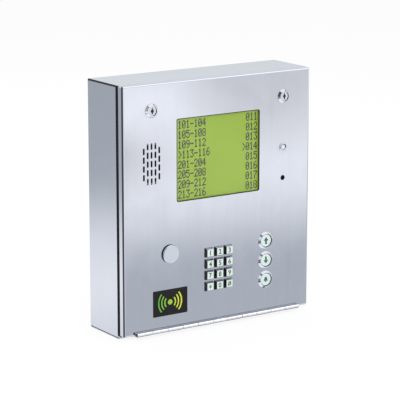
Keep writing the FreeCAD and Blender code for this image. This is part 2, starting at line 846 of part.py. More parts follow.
def make_battery_bracket():
    # A tray of folded sheet that holds the battery by its lower edges
    width = "batteryWidth + 2 * batteryFit + 2 * traySheet"
    side = "batteryWidth / 2 + batteryFit + traySheet / 2"
    lip_level = "shelfTop + trayLip / 2 - traySheet / 2"
    lip = "trayLip + traySheet"
    keep("battery_bracket", fuse([
        block("batteryX", "shelfTop - traySheet + trayBack / 2", width, "trayBack", "batteryBack", "boxSheet"),
        block("batteryX", "shelfTop - traySheet / 2", width, "traySheet", "trayFront", "boxSheet"),
        block("batteryX", lip_level, width, lip, "trayFront", "trayFront - traySheet"),
        block("batteryX - (%s)" % side, lip_level, "traySheet", lip, "trayFront", "boxSheet"),
        block("batteryX + %s" % side, lip_level, "traySheet", lip, "trayFront", "boxSheet")]))


def make_cable_bushing():
    keep("cable_bushing", turned([
        ("bushingBore", "0"), ("bushingHoleRadius - bushingFit", "0"),
        ("bushingHoleRadius - bushingFit", "boxSheet"), ("bushingFlangeRadius", "boxSheet"),
        ("bushingFlangeRadius", "boxSheet + bushingFlangeThick"), ("bushingBore", "boxSheet + bushingFlangeThick")],
        "bushingX", "bushingLevel"))


# Door

def door_studs():
    # Where weld studs stand on the door: centre, half spacings and the depth of what they hold
    return (
        ("0", "displayLevel", "displayStudX", "displayStudZ", "displayBoardBack"),
        ("0", "keypadLevel", "keypadStudX", "keypadStudZ", "keypadBoardBack"),
        ("-columnX", "displayLevel", "speakerStudX", "speakerStudZ", "flangeBack"),
        ("-lowerX", "readerLevel", "readerStudX", "0", "readerEarBack"))


def opening(body, sketch):
    # A hole through the door's front sheet
    return pocket(body, sketch, "doorSheet")


def cut_grille(body):
    columns = (("slotPitchWide", 3, middle_slots), ("2 * slotPitchWide", 2, outer_slots))
    for half_width, count, rows in columns:
        x = "-columnX - %s" % half_width
        z = "displayLevel - slotPitchTall * %.1f" % ((rows - 1) / 2)
        slot = upright_slot(front_sketch(body, "faceDepth", x, z), "slotWidth", "slotHeight")
        pitch = "2 * (%s) / %d" % (half_width, count - 1)
        grid(body, opening(body, slot), pitch, count, "slotPitchTall", rows)


def make_door_panel():
    body = new_body()
    pan = rectangle(front_sketch(body, "doorBack", "0", "doorCentre"), "boxWidth", "doorHeight")
    pad(body, pan, "doorDepth")
    round_edges(body, "doorBend", lambda middle, edge: is_straight(edge, along_y) or near(middle.y, "-faceDepth"))
    cavity = front_sketch(body, "panelBack", "0", "doorCentre")
    pocket(body, rectangle(cavity, "boxWidth - 2 * doorSheet", "doorHeight - 2 * doorSheet"),
           "doorDepth - 2 * doorSheet")
    mouth = front_sketch(body, "doorBack + doorSheet", "0", "doorCentre")
    pocket(body, rectangle(mouth, "boxWidth - 2 * doorLip", "doorHeight - 2 * doorLip"), "doorSheet")
    opening(body, rectangle(front_sketch(body, "faceDepth", "0", "displayLevel"), "displayWidth", "displayHeight"))
    round_edges(body, "displayCorner", lambda middle, edge: is_straight(edge, along_y)
                and near(abs(middle.x), "displayWidth / 2") and near(middle.y, "-(faceDepth - doorSheet / 2)"))
    reader_hole = front_sketch(body, "faceDepth", "-lowerX", "readerLevel")
    opening(body, rectangle(reader_hole, "readerWidth + 2 * readerFit", "readerHeight + 2 * readerFit"))
    round_edges(body, "readerCorner + readerFit", lambda middle, edge: is_straight(edge, along_y)
                and near(abs(middle.x + number("lowerX")), "readerWidth / 2 + readerFit")
                and near(middle.y, "-(faceDepth - doorSheet / 2)"))
    lock = circle(front_sketch(body, "faceDepth", "-columnX", "lockLevel"), "lockBarrelRadius + holeFit")
    in_line(body, [opening(body, lock)], "X_Axis", "2 * columnX", 2)
    ring = circle(front_sketch(body, "faceDepth", "lowerX", "keypadLevel - buttonPitch"), "sleeveRadius + holeFit")
    in_line(body, [opening(body, ring)], "Z_Axis", "buttonPitch", 3)
    key = front_sketch(body, "faceDepth", "-keyPitch", "keypadLevel - 1.5 * keyPitch")
    key_hole = opening(body, rectangle(key, "keyBase + 2 * keyFit", "keyBase + 2 * keyFit"))
    grid(body, key_hole, "keyPitch", 3, "keyPitch", 4)
    for x, z, radius in (("columnX", "displayLevel", "indicatorRadius + holeFit"),
                         ("columnX", "microphoneLevel", "microphoneRadius"),
                         ("-lowerX", "plugLevel", "plugShankRadius + holeFit")):
        opening(body, circle(front_sketch(body, "faceDepth", x, z), radius))
    cut_grille(body)
    for x, z, half_x, half_z, held in door_studs():
        tip = "%s - studNutThick - studSpare" % held
        foot = front_sketch(body, "panelBack", "%s - %s" % (x, half_x), "%s - %s" % (z, half_z))
        stud = pad(body, circle(foot, "studRadius"), "panelBack - (%s)" % tip, to_wall=True)
        if half_z == "0":
            in_line(body, [stud], "X_Axis", "2 * " + half_x, 2)
        else:
            grid(body, stud, "2 * " + half_x, 2, "2 * " + half_z, 2)
    keep("door_panel", body)


def make_door_nuts():
    nuts = []
    for x, z, half_x, half_z, held in door_studs():
        for column in (-1, 1):
            for row in (-1, 1) if half_z != "0" else (1,):
                nuts.append(nut("%s + %d * %s" % (x, column, half_x), "%s + %d * %s" % (z, row, half_z),
                                "studNutWidth", "studRadius + threadFit", held, "%s - studNutThick" % held))
    keep("door_nuts", group(nuts))


def make_speaker():
    x, z = "-columnX", "displayLevel"
    outer, foot = "basketRadius + basketWall", "basketFootRadius + basketWall"
    body = turned([
        ("basketRadius", "flangeBack + basketWall / 2"), (outer, "flangeBack + basketWall / 2"),
        (outer, "flangeBack"), (foot, "footFront"), (foot, "footBack"), ("coilRadius", "footBack"),
        ("coilRadius", "footFront"), ("basketFootRadius", "footFront"), ("basketRadius", "flangeBack")], x, z)
    flange = rectangle(front_sketch(body, "flangeBack"), "speakerWidth", "speakerHeight")
    circle(flange, "basketRadius")
    pad(body, flange, "speakerFlange")
    hole = front_sketch(body, "speakerFront", "-speakerStudX", "-speakerStudZ")
    grid(body, pocket(body, circle(hole, "studRadius + studFit"), "speakerFlange"),
         "2 * speakerStudX", 2, "2 * speakerStudZ", 2)
    window = front_sketch(body, "flangeBack", "0", "(basketRadius + basketFootRadius) / 2")
    side = pocket(body, rectangle(window, "basketWindowWidth", "basketWindowHeight"), "basketDepth - 2 * basketWall")
    ring = add_feature(body, "PolarPattern")
    ring.Originals = [side]
    ring.Axis = (origin_part(body, "Y_Axis"), [""])
    ring.Occurrences = 4
    keep("speaker_basket", body)
    coil_front = "speakerFront - coneDepth"
    keep("speaker_cone", turned([
        ("0", "%s + 2 * surroundThick" % coil_front), ("coilRadius", coil_front), ("coneRadius", "panelBack"),
        ("surroundRadius", "panelBack"), ("surroundRadius", "speakerFront"), ("coneRadius", "speakerFront"),
        ("coilRadius", "%s - surroundThick" % coil_front), ("0", "%s + surroundThick" % coil_front)], x, z))
    keep("speaker_magnet", turned([
        ("0", "footBack"), ("magnetRadius", "footBack"), ("magnetRadius", "footBack - magnetThick"),
        ("0", "footBack - magnetThick")], x, z))


def make_display():
    z = "displayLevel"
    window = slab("windowWidth", "windowHeight", "panelBack", "windowBack", "0", z)
    round_edges(window, "displayCorner", lambda middle, edge: is_straight(edge, along_y))
    keep("display_window", window)
    bezel = slab("windowWidth", "windowHeight", "windowBack", "displayBoardFront", "0", z)
    cell = rectangle(front_sketch(bezel, "glassFront"), "pocketWidth", "pocketHeight")
    pocket(bezel, cell, "bezelDepth - bezelLip")
    lip = rectangle(front_sketch(bezel, "windowBack"), "pocketWidth - 2 * bezelOverlap",
                    "pocketHeight - 2 * bezelOverlap")
    pocket(bezel, lip, "bezelLip")
    keep("display_bezel", bezel)
    width, height = "pocketWidth - 2 * glassFit", "pocketHeight - 2 * glassFit"
    keep("display_glass", block("0", z, width, height, "glassFront", "glassBack"))
    keep("display_backlight", block("0", z, width, height, "glassBack", "displayBoardFront"))
    board = block("0", z, "windowWidth + 2 * boardMargin", "windowHeight", "displayBoardFront", "displayBoardBack")
    holes = [rod("%d * displayStudX" % column, "%s + %d * displayStudZ" % (z, row), "studRadius + studFit",
                 "displayBoardFront", "displayBoardBack") for column in (-1, 1) for row in (-1, 1)]
    keep("display_board", cut(board, holes))


def make_keypad_housing():
    body = slab("housingWidth", "housingHeight", "panelBack", "housingBack", "0", "keypadLevel")
    room = rectangle(front_sketch(body, "panelBack"), "housingWidth - 2 * housingRim",
                     "housingHeight - 2 * housingRim")
    pocket(body, room, "panelBack - housingFront")
    guide = circle(front_sketch(body, "housingFront", "-keyPitch", "-1.5 * keyPitch"), "guideRadius")
    grid(body, pocket(body, guide, "housingPlate"), "keyPitch", 3, "keyPitch", 4)
    hole = circle(front_sketch(body, "panelBack", "-keypadStudX", "-keypadStudZ"), "studRadius + studFit")
    grid(body, pocket(body, hole, "panelBack - housingBack"), "2 * keypadStudX", 2, "2 * keypadStudZ", 2)
    keep("keypad_housing", body)


def make_keypad_mat():
    body = slab("3 * keyPitch", "4 * keyPitch", "housingBack", "matBack", "0", "keypadLevel")
    dome = circle(front_sketch(body, "housingBack", "-keyPitch", "-1.5 * keyPitch"), "domeRadius")
    grid(body, pad(body, dome, "domeHeight"), "keyPitch", 3, "keyPitch", 4)
    keep("keypad_dome_mat", body)


def make_keypad_board():
    body = slab("housingWidth", "housingHeight", "matBack", "keypadBoardBack", "0", "keypadLevel")
    hole = circle(front_sketch(body, "matBack", "-keypadStudX", "-keypadStudZ"), "studRadius + studFit")
    grid(body, pocket(body, hole, "boardThick"), "2 * keypadStudX", 2, "2 * keypadStudZ", 2)
    keep("keypad_board", body)


def make_key(label, x, z):
    # A square key with a bevelled face, a flange behind the panel and a short stem
    face = doc.addObject("Part::Wedge", "Face")
    for name, formula in (("Xmin", "-keyFace / 2"), ("Xmax", "keyFace / 2"), ("Zmin", "-keyFace / 2"),
                          ("Zmax", "keyFace / 2"), ("X2min", "-keyBase / 2"), ("X2max", "keyBase / 2"),
                          ("Z2min", "-keyBase / 2"), ("Z2max", "keyBase / 2"), ("Ymax", "keyBevel")):
        bind(face, name, formula)
    face.Ymin = 0
    put(face, "0", "keyFront", "0")
    flange = "keyBase + 2 * keyFlange"
    key = fuse([
        face,
        block("0", "0", "keyBase", "keyBase", "keyShoulder", "keyFlangeFront"),
        block("0", "0", flange, flange, "keyFlangeFront", "keyFlangeBack"),
        rod("0", "0", "stemRadius", "keyFlangeBack", "stemBack")])
    put(key, x, "0", z)
    keep(label, key)


def make_keys():
    for row, names in enumerate(key_rows):
        for column, name in enumerate(names):
            z = "keypadLevel + %.1f * keyPitch" % (1.5 - row)
            make_key("key_" + name, "%d * keyPitch" % (column - 1), z)


def make_button_bezels():
    bore, wide_bore = "capRadius + capFit", "sleeveRadius - sleeveWall"
    body = turned([
        (bore, "ringFront"), ("ringRadius - ringBevel", "ringFront"), ("ringRadius", "faceDepth + ringEdge"),
        ("ringRadius", "faceDepth"), ("sleeveRadius", "faceDepth"), ("sleeveRadius", "sleeveBack"),
        (wide_bore, "sleeveBack"), (wide_bore, "ringStep"), (bore, "ringStep")],
        "lowerX", "keypadLevel - buttonPitch")
    in_line(body, [body.Tip], "Z_Axis", "buttonPitch", 3)
    keep("button_bezels", body)


def make_button_switches():
    body = turned([
        ("0", "plungerFront"), ("plungerRadius", "plungerFront"), ("plungerRadius", "switchFront"),
        ("sleeveRadius - sleeveWall - holeFit", "switchFront"), ("sleeveRadius - sleeveWall - holeFit", "switchBack"),
        ("0", "switchBack")], "lowerX", "keypadLevel - buttonPitch")
    features = [body.Tip]
    for side in (-1, 1):
        tag = rectangle(front_sketch(body, "switchBack", "%d * switchTagReach" % side), "tagThick", "tagWidth")
        features.append(pad(body, tag, "tagLength", to_wall=True))
    in_line(body, features, "Z_Axis", "buttonPitch", 3)
    keep("button_switches", body)


def make_round_buttons():
    flange = "capRadius + capFlange"
    for label, step in (("down_button", 0), ("up_button", 1), ("call_button", -1)):
        keep(label, turned([
            ("0", "capFront"), ("capRadius - capChamfer", "capFront"), ("capRadius", "capFront - capChamfer"),
            ("capRadius", "capFlangeFront"), (flange, "capFlangeFront"), (flange, "capFlangeBack"),
            ("capStemRadius", "capFlangeBack"), ("capStemRadius", "capStemBack"), ("0", "capStemBack")],
            "lowerX", "keypadLevel + %d * buttonPitch" % step))


def make_panel_nuts():
    wanted = [("%d * columnX" % side, "lockLevel", "lockNutWidth", "lockBarrelRadius") for side in (-1, 1)]
    wanted += [("lowerX", "keypadLevel + %d * buttonPitch" % step, "sleeveNutWidth", "sleeveRadius")
               for step in (-1, 0, 1)]
    wanted.append(("-lowerX", "plugLevel", "plugNutWidth", "plugShankRadius"))
    wanted.append(("columnX", "displayLevel", "indicatorNutWidth", "indicatorRadius"))
    keep("panel_nuts", group([nut(x, z, width, radius + " + threadFit", "panelBack", "panelNutBack")
                              for x, z, width, radius in wanted]))


def make_microphone():
    x, z = "columnX", "microphoneLevel"
    pocket_radius, seat = "capsuleRadius + capsuleFit", "panelBack - bootFront"
    back = "panelBack - bootDepth"
    keep("microphone_boot", turned([
        ("microphoneRadius", "panelBack"), ("bootRadius", "panelBack"), ("bootRadius", back),
        (pocket_radius, back), (pocket_radius, seat), ("microphoneRadius", seat)], x, z))
    keep("microphone_capsule", turned([
        ("0", seat), ("capsuleRadius", seat), ("capsuleRadius", "%s - capsuleDepth" % seat),
        ("0", "%s - capsuleDepth" % seat)], x, z))


def make_indicator():
    x, z = "columnX", "displayLevel"
    bore, front, back = "lensRadius + lensFit", "faceDepth + indicatorProud", "panelBack - indicatorDepth"
    keep("indicator_bezel", turned([
        (bore, front), ("indicatorFlange - indicatorChamfer", front),
        ("indicatorFlange", "%s - indicatorChamfer" % front), ("indicatorFlange", "faceDepth"),
        ("indicatorRadius", "faceDepth"), ("indicatorRadius", back), (bore, back)], x, z))
    ball = doc.addObject("Part::Sphere", "Ball")
    bind(ball, "Radius", "(lensRadius ^ 2 + lensDome ^ 2) / (2 * lensDome)")
    put(ball, x, "faceDepth + lensDome - (lensRadius ^ 2 + lensDome ^ 2) / (2 * lensDome)", z)
    dome = doc.addObject("Part::Common", "Dome")
    dome.Base = ball
    dome.Tool = rod(x, z, "lensRadius", "faceDepth + 2 * lensDome", "faceDepth")
    keep("indicator_lens", fuse([dome, rod(x, z, "lensRadius", "faceDepth", back)]))


def make_blanking_plug():
    front, back = "faceDepth + plugProud", "panelBack - plugShankLength"
    keep("blanking_plug", turned([
        ("0", front), ("plugRadius - plugChamfer", front), ("plugRadius", "%s - plugChamfer" % front),
        ("plugRadius", "faceDepth"), ("plugShankRadius", "faceDepth"), ("plugShankRadius", back), ("0", back)],
        "-lowerX", "plugLevel"))


def make_reader():
    x, z = "-lowerX", "readerLevel"
    window = slab("readerWidth", "readerHeight", "readerFront", "panelBack", x, z)
    round_edges(window, "readerCorner", lambda middle, edge: is_straight(edge, along_y))
    flange = front_sketch(window, "readerFlangeBack")
    pad(window, rectangle(flange, "readerWidth + 2 * readerFlange", "readerHeight + 2 * readerFlange"),
        "readerFlangeThick")
    keep("reader_window", window)
    body = slab("readerBodyWidth", "readerBodyHeight", "readerFlangeBack", "readerFlangeBack - readerBodyDepth", x, z)
    ears = rectangle(front_sketch(body, "readerEarBack"), "readerBodyWidth + 2 * readerEarWidth", "readerEarHeight")
    pad(body, ears, "readerEarThick")
    hole = circle(front_sketch(body, "readerFlangeBack", "-readerStudX"), "studRadius + studFit")
    in_line(body, [pocket(body, hole, "readerEarThick")], "X_Axis", "2 * readerStudX", 2)
    keep("reader_module", body)


# Locks

def make_lock_body(label, x):
    bore, head_bore = "coreRadius + coreFit", "coreHeadRadius + coreFit"
    seat = "coreShoulder - coreFit"
    keep(label, turned([
        (head_bore, "lockFront"), ("lockHeadRadius - lockBevel", "lockFront"),
        ("lockHeadRadius", "faceDepth + lockEdge"), ("lockHeadRadius", "faceDepth"),
        ("lockBarrelRadius", "faceDepth"), ("lockBarrelRadius", "lockBack"), (bore, "lockBack"),
        (bore, seat), (head_bore, seat)], x, "lockLevel"))


def make_lock_core(label, x):
    body = turned([
        ("0", "coreFront"), ("coreHeadRadius", "coreFront"), ("coreHeadRadius", "coreShoulder"),
        ("coreRadius", "coreShoulder"), ("coreRadius", "lockBack"), ("0", "lockBack")], x, "lockLevel")
    keyway = rectangle(front_sketch(body, "coreFront"), "keywayWidth", "keywayHeight")
    pocket(body, keyway, "keywayDepth")
    pocket(body, circle(front_sketch(body, "coreFront"), "keywayEye"), "keywayDepth")
    tail = rectangle(front_sketch(body, "lockBack"), "tailSide", "tailSide")
    pad(body, tail, "lockBack - camBack", to_wall=True)
    pad(body, circle(front_sketch(body, "camBack"), "tailHeadRadius"), "tailHeadThick", to_wall=True)
    keep(label, body)


def make_lock_cam(label, x, inward):
    reach = "%s %s (camLength - camWidth / 2)" % (x, inward)
    arm = "%s %s (camLength - camWidth / 2) / 2" % (x, inward)
    plate = fuse([
        rod(x, "lockLevel", "camEye", "camFront", "camBack"),
        block(arm, "lockLevel", "camLength - camWidth / 2", "camWidth", "camFront", "camBack"),
        rod(reach, "lockLevel", "camWidth / 2", "camFront", "camBack")])
    side = "tailSide + 2 * camFit"
    keep(label, cut(plate, [block(x, "lockLevel", side, side, "camFront", "camBack")]))


def make_locks():
    for hand, x, inward in (("left", "-columnX", "+"), ("right", "columnX", "-")):
        make_lock_body(hand + "_lock_body", x)
        make_lock_core(hand + "_lock_core", x)
        make_lock_cam(hand + "_lock_cam", x, inward)


def check_model():
    doc.recompute()
    faults = []
    for thing in doc.Objects:
        if "Invalid" in thing.State or "Error" in thing.State:
            faults.append("%s (%s) failed" % (thing.Name, thing.Label))
        removes = thing.TypeId in ("PartDesign::Pocket", "PartDesign::Groove")
        if removes and thing.Shape.Volume >= thing.BaseFeature.Shape.Volume - 0.001:
            faults.append("%s removes nothing" % thing.Name)
    for piece in nodes:
        if piece.Shape.isNull() or not piece.Shape.isValid():
            faults.append("%s has no valid shape" % piece.Label)
    if faults:
        raise SystemExit("\n".join(faults))


def write_parts():
    os.makedirs("parts", exist_ok=True)
    for piece in nodes:
        piece.Shape.exportStep("parts/%s.step" % piece.Label)
        box = piece.Shape.BoundBox
        print("%-20s %3d solids  x %8.2f %8.2f  y %8.2f %8.2f  z %8.2f %8.2f" % (
            piece.Label, len(piece.Shape.Solids), box.XMin, box.XMax, box.YMin, box.YMax, box.ZMin, box.ZMax))
    print(len(nodes), "parts")


make_box_wrap()
make_side_panel("left_side_panel", "-1")
make_side_panel("right_side_panel", "1")
make_gasket_frame()
make_door_gasket()
make_hinge()
make_main_board()
make_board_fixings()
make_terminal_blocks()
make_relays()
make_microchips()
make_battery()
make_battery_bracket()
make_cable_bushing()
make_door_panel()
make_door_nuts()
make_speaker()
make_display()
make_keypad_housing()
make_keypad_mat()
make_keypad_board()
make_keys()
make_button_bezels()
make_button_switches()
make_round_buttons()
make_panel_nuts()
make_microphone()
make_indicator()
make_blanking_plug()
make_reader()
make_locks()
check_model()
write_parts()
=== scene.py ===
import math

import bmesh
import bpy
from mathutils import Matrix, Vector


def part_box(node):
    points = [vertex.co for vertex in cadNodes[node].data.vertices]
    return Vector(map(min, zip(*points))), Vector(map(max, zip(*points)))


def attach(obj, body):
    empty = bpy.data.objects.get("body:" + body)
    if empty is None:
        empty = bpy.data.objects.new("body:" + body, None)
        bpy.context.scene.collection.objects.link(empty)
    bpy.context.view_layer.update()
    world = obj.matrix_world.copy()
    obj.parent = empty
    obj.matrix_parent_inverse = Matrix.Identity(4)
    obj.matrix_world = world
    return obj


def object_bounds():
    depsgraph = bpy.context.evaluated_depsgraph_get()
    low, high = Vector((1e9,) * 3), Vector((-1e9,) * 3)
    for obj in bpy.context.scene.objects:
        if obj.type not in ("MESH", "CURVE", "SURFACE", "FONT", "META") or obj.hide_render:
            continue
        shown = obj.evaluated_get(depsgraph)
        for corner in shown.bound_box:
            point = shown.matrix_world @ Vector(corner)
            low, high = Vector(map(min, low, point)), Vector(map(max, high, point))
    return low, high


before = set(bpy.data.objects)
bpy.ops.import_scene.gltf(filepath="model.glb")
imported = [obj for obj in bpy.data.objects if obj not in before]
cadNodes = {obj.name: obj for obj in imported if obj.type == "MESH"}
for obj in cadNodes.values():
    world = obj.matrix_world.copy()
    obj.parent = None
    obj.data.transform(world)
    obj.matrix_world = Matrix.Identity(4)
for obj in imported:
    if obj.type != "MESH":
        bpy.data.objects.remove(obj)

scene = bpy.context.scene
cadBox = [list(corner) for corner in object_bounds()]


# small helpers

def linear(code):  # sRGB hex to the linear colour a socket takes
    parts = [int(code[i:i + 2], 16) / 255 for i in (1, 3, 5)]
    return tuple(c / 12.92 if c <= 0.04045 else ((c + 0.055) / 1.055) ** 2.4 for c in parts) + (1.0,)


def perMetre(mm):  # pattern scale for a feature of this many millimetres
    return 1000.0 / mm


def addNode(tree, kind, inputs=None, stops=None, **settings):
    node = tree.nodes.new(kind)
    for name, value in settings.items():
        setattr(node, name, value)
    for key, value in (inputs or {}).items():
        if isinstance(value, bpy.types.NodeSocket):
            tree.links.new(value, node.inputs[key])
        else:
            node.inputs[key].default_value = value
    if stops:
        ramp = node.color_ramp
        ramp.elements.remove(ramp.elements[-1])
        ramp.elements[0].position, ramp.elements[0].color = stops[0]
        for place, tone in stops[1:]:
            ramp.elements.new(place).color = tone
    return node


def maths(tree, operation, *values):
    return addNode(tree, "ShaderNodeMath", dict(enumerate(values)), operation=operation).outputs[0]


def spread(tree, value, low, high, start=0.0, end=1.0, **settings):  # low to high becomes start to end
    sockets = {"Value": value, "From Min": low, "From Max": high, "To Min": start, "To Max": end}
    return addNode(tree, "ShaderNodeMapRange", sockets, **settings).outputs[0]


def mixTones(tree, share, *tones):  # each tone is a hex colour or another node's output
    first, second = [linear(tone) if isinstance(tone, str) else tone for tone in tones]
    return addNode(tree, "ShaderNodeMix", {0: share, 6: first, 7: second}, data_type="RGBA").outputs[2]


def axisOf(tree, vector, axis):
    return addNode(tree, "ShaderNodeSeparateXYZ", {0: vector}).outputs[axis]


noiseRange = (0.3, 0.7)    # most of a noise texture's values lie between these


def noise(tree, vector, mm, detail, **more):
    return addNode(tree, "ShaderNodeTexNoise", {
        "Vector": vector, "Scale": perMetre(mm), "Detail": detail, **more}).outputs[0]


def bump(tree, height, depth, strength, under=None):
    inputs = {"Height": height, "Distance": depth, "Strength": strength}
    if under is not None:
        inputs["Normal"] = under
    return addNode(tree, "ShaderNodeBump", inputs).outputs[0]


def feed(tree, shader, outputs):
    for name, output in outputs.items():
        tree.links.new(output, shader.inputs[name])


def emptyTree(owner):
    owner.use_nodes = True
    owner.node_tree.nodes.clear()
    return owner.node_tree


def startMaterial(name, surface):
    material = bpy.data.materials.new(name)
    tree = emptyTree(material)
    shader = addNode(tree, "ShaderNodeBsdfPrincipled", surface)
    addNode(tree, "ShaderNodeOutputMaterial", {"Surface": shader.outputs[0]})
    coords = addNode(tree, "ShaderNodeTexCoord").outputs["Object"]
    return material, tree, shader, coords


def finishNodes(material, names):  # a CAD node keeps its shape and takes the material
    for name in names:
        for slot in cadNodes[name].material_slots:
            slot.material = material


def facingShare(tree, axis, low, high, keepSign=False):
    # how far a face turns toward an axis of the object, 0 at the low value and 1 at the high one
    normal = addNode(tree, "ShaderNodeTexCoord").outputs["Normal"]
    part = axisOf(tree, normal, axis)
    return spread(tree, part if keepSign else maths(tree, "ABSOLUTE", part), low, high)


def newObject(name, data):
    made = bpy.data.objects.new(name, data)
    scene.collection.objects.link(made)
    return made


def newPiece(name, mesh, body, finish):  # a finish is a material and a record's slot name; the slot name is not used
    material, slotName = finish
    mesh.name = name
    piece = newObject(name, mesh)
    mesh.materials.clear()
    mesh.materials.append(material)
    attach(piece, body)
    return piece


def faceCentre(node):
    low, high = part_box(node)
    return Vector(((low.x + high.x) / 2, low.y, (low.z + high.z) / 2))


# stainless sheet

sheet = {
    "lineWidth": 0.9,      # mm; real brush lines are near 0.1 mm, drawn coarser so that they show
    "lineLength": 80,
    "streakWidth": 7,      # mm, the uneven bands of the belt
    "streakLength": 240,
    "smudge": 38,
    "wave": 120,           # mm across the soft waves that a rolled and bent sheet keeps
    "waveHeight": 0.00008,
    "lineDepth": 0.0000012,
    "colours": ("#c7cad3", "#c9ccd5"),
    "contrast": (0.75, 1.25),    # sums of lines and streaks that show the first and the second colour
    "roughness": (0.07, 0.1),
}


def brushedSheet(name, across, spec):
    # stainless sheet, belt brushed: long fine lines one way, soft stretched glints and slow waves
    material, tree, shader, coords = startMaterial(name, {"Metallic": 1.0})

    def stretchedNoise(width, length, detail):
        scale = [perMetre(length)] * 3
        scale["xyz".index(across)] = perMetre(width)
        vector = addNode(tree, "ShaderNodeMapping", {"Vector": coords, "Scale": scale}).outputs[0]
        return noise(tree, vector, mm=1000, detail=detail)    # the mapping has made it smaller

    lines = stretchedNoise(spec["lineWidth"], spec["lineLength"], 3.0)
    streaks = stretchedNoise(spec["streakWidth"], spec["streakLength"], 2.0)
    both = maths(tree, "ADD", lines, streaks)
    shown = mixTones(tree, spread(tree, both, *spec["contrast"]), *spec["colours"])
    for axis, low, high, shadeTone in spec.get("paintedFacingShade", ()):  # painted shade: darker where the strip faces down, and greyer where it faces up
        shown = mixTones(tree, facingShare(tree, axis, low, high, keepSign=True), shown, shadeTone)
    if "paintedBendReflection" in spec:  # painted reflection: the left bend is darkened to stand in for the dark that it reflects
        bend = spec["paintedBendReflection"]
        share = maths(tree, "MULTIPLY", facingShare(tree, 0, *bend["leftward"], keepSign=True),
                      facingShare(tree, 1, *bend["frontward"]))
        shown = mixTones(tree, share, shown, bend["colour"])
    if "paintedSeamShade" in spec:  # painted shade: a black band along the top seam of each side, where the seam lies in shade
        paintedSeamShade = spec["paintedSeamShade"]
        share = maths(tree, "GREATER_THAN", axisOf(tree, coords, 2), paintedSeamShade["above"])
        if paintedSeamShade["endsOnly"]:
            share = maths(tree, "MULTIPLY", share, facingShare(tree, axis=0, low=0.9, high=0.95))
        shown = mixTones(tree, share, shown, paintedSeamShade["colour"])
        feed(tree, shader, {"Metallic": maths(tree, "SUBTRACT", 1.0, share)})
    smudges = noise(tree, coords, spec["smudge"], detail=4.0, Distortion=0.6)
    waves = noise(tree, coords, spec["wave"], detail=1.0, Roughness=0.4)
    waveBump = bump(tree, waves, spec["waveHeight"], strength=1.0)
    feed(tree, shader, {
        "Base Color": shown,
        "Roughness": spread(tree, smudges, *noiseRange, *spec["roughness"]),
        "Normal": bump(tree, both, spec["lineDepth"], strength=0.6, under=waveBump)})
    return material


seamShadeBand = {"colour": "#17181b", "above": 0.1906}     # the painted seam shade is 3.4 mm wide, to the top of the cabinet
# painted reflection: a dark tone on the door sheet's left bend, in place of the dark that the bend reflects
paintedBendReflection = {"colour": "#4a4d55", "leftward": (-0.2, -0.42), "frontward": (0.1, 0.3)}
sheets = {  # material: direction across the lines, what it adds to the plain sheet, and its nodes
    "Brushed stainless sheet, lines upright": ("x", {}, ["gasket_frame"]),
    "Brushed stainless door sheet": ("x", {"paintedBendReflection": paintedBendReflection}, ["door_panel"]),
    "Brushed stainless sheet with sealed ends": ("x", {"paintedSeamShade": dict(seamShadeBand, endsOnly=True)}, ["box_wrap"]),
    "Brushed stainless sheet, side panels": (
        "y", {"paintedSeamShade": dict(seamShadeBand, endsOnly=False)}, ["left_side_panel", "right_side_panel"]),
}
for name, (across, added, nodes) in sheets.items():
    finishNodes(brushedSheet(name, across, dict(sheet, **added)), nodes)

# painted shade: the hinge strip takes a dark tone where it faces down and a grey one where it faces up
hingeSheet = dict(sheet, lineWidth=0.7, lineLength=30, streakWidth=9, streakLength=40, waveHeight=0.00002,
                  colours=("#dcdde2", "#ecedf1"), roughness=(0.14, 0.2),
                  paintedFacingShade=[(2, -0.3, -0.6, "#4a4b50"), (2, 0.75, 0.95, "#6c6e75")])   # axis, low, high, tone
finishNodes(brushedSheet("Rolled stainless hinge strip", "z", hingeSheet),
            ["box_hinge_leaf", "door_hinge_leaf", "hinge_pin"])


# plated and cast metals

hairline = {"size": 0.7, "edge": 0.05, "strength": 0.35, "dulls": 0.12}     # its size against the clouds


def platedMetal(name, dark, light, roughness, cloudSize, pitDepth, paintedReflectionTones=()):
    # electroplated metal: a mirror skin with faint cloudiness and hairline handling marks
    material, tree, shader, coords = startMaterial(name, {"Metallic": 1.0})
    cloud = noise(tree, coords, cloudSize, detail=5.0)
    hairs = addNode(tree, "ShaderNodeTexVoronoi", {
        "Vector": coords, "Scale": perMetre(cloudSize * hairline["size"]), "Randomness": 1.0},
        feature="DISTANCE_TO_EDGE").outputs[0]
    marks = spread(tree, hairs, 0.0, hairline["edge"], start=hairline["strength"], end=0.0)
    shown = mixTones(tree, cloud, dark, light)
    for axis, tone in zip((2, 0), paintedReflectionTones):  # painted reflection: bevels facing up and down take the first tone and bevels facing the sides the second, for the bright and dark that chrome reflects
        shown = mixTones(tree, facingShare(tree, axis, low=0.35, high=0.6), shown, tone)
    rough = spread(tree, cloud, *noiseRange, *roughness)
    feed(tree, shader, {
        "Base Color": shown,
        "Roughness": maths(tree, "MULTIPLY_ADD", marks, hairline["dulls"], rough),
        "Normal": bump(tree, cloud, pitDepth, strength=0.5)})
    return material


platings = {  # two tones, roughness, size of the clouds in mm, depth of their pits in metres, and nodes
    "Chromium plated brass": (
        "#d3d6dc", "#e6e9ef", (0.05, 0.1), 3.0, 0.000003,
        ["left_lock_body", "right_lock_body", "button_bezels"]),
    "Satin nickel plug": (
        "#ced4df", "#d8dde7", (0.24, 0.32), 3.0, 0.000003, ["blanking_plug", "indicator_bezel"]),
    "Nickel plated zinc casting": (
        "#c3c6cd", "#dddfe5", (0.16, 0.28), 1.6, 0.000006, ["left_lock_core", "right_lock_core"]),
    "Satin stainless button caps": (
        "#e2eef0", "#f0f7f9", (0.34, 0.42), 2.4, 0.000004, ["up_button", "down_button", "call_button"]),
}
for name, (*recipe, nodes) in platings.items():
    finishNodes(platedMetal(name, *recipe), nodes)
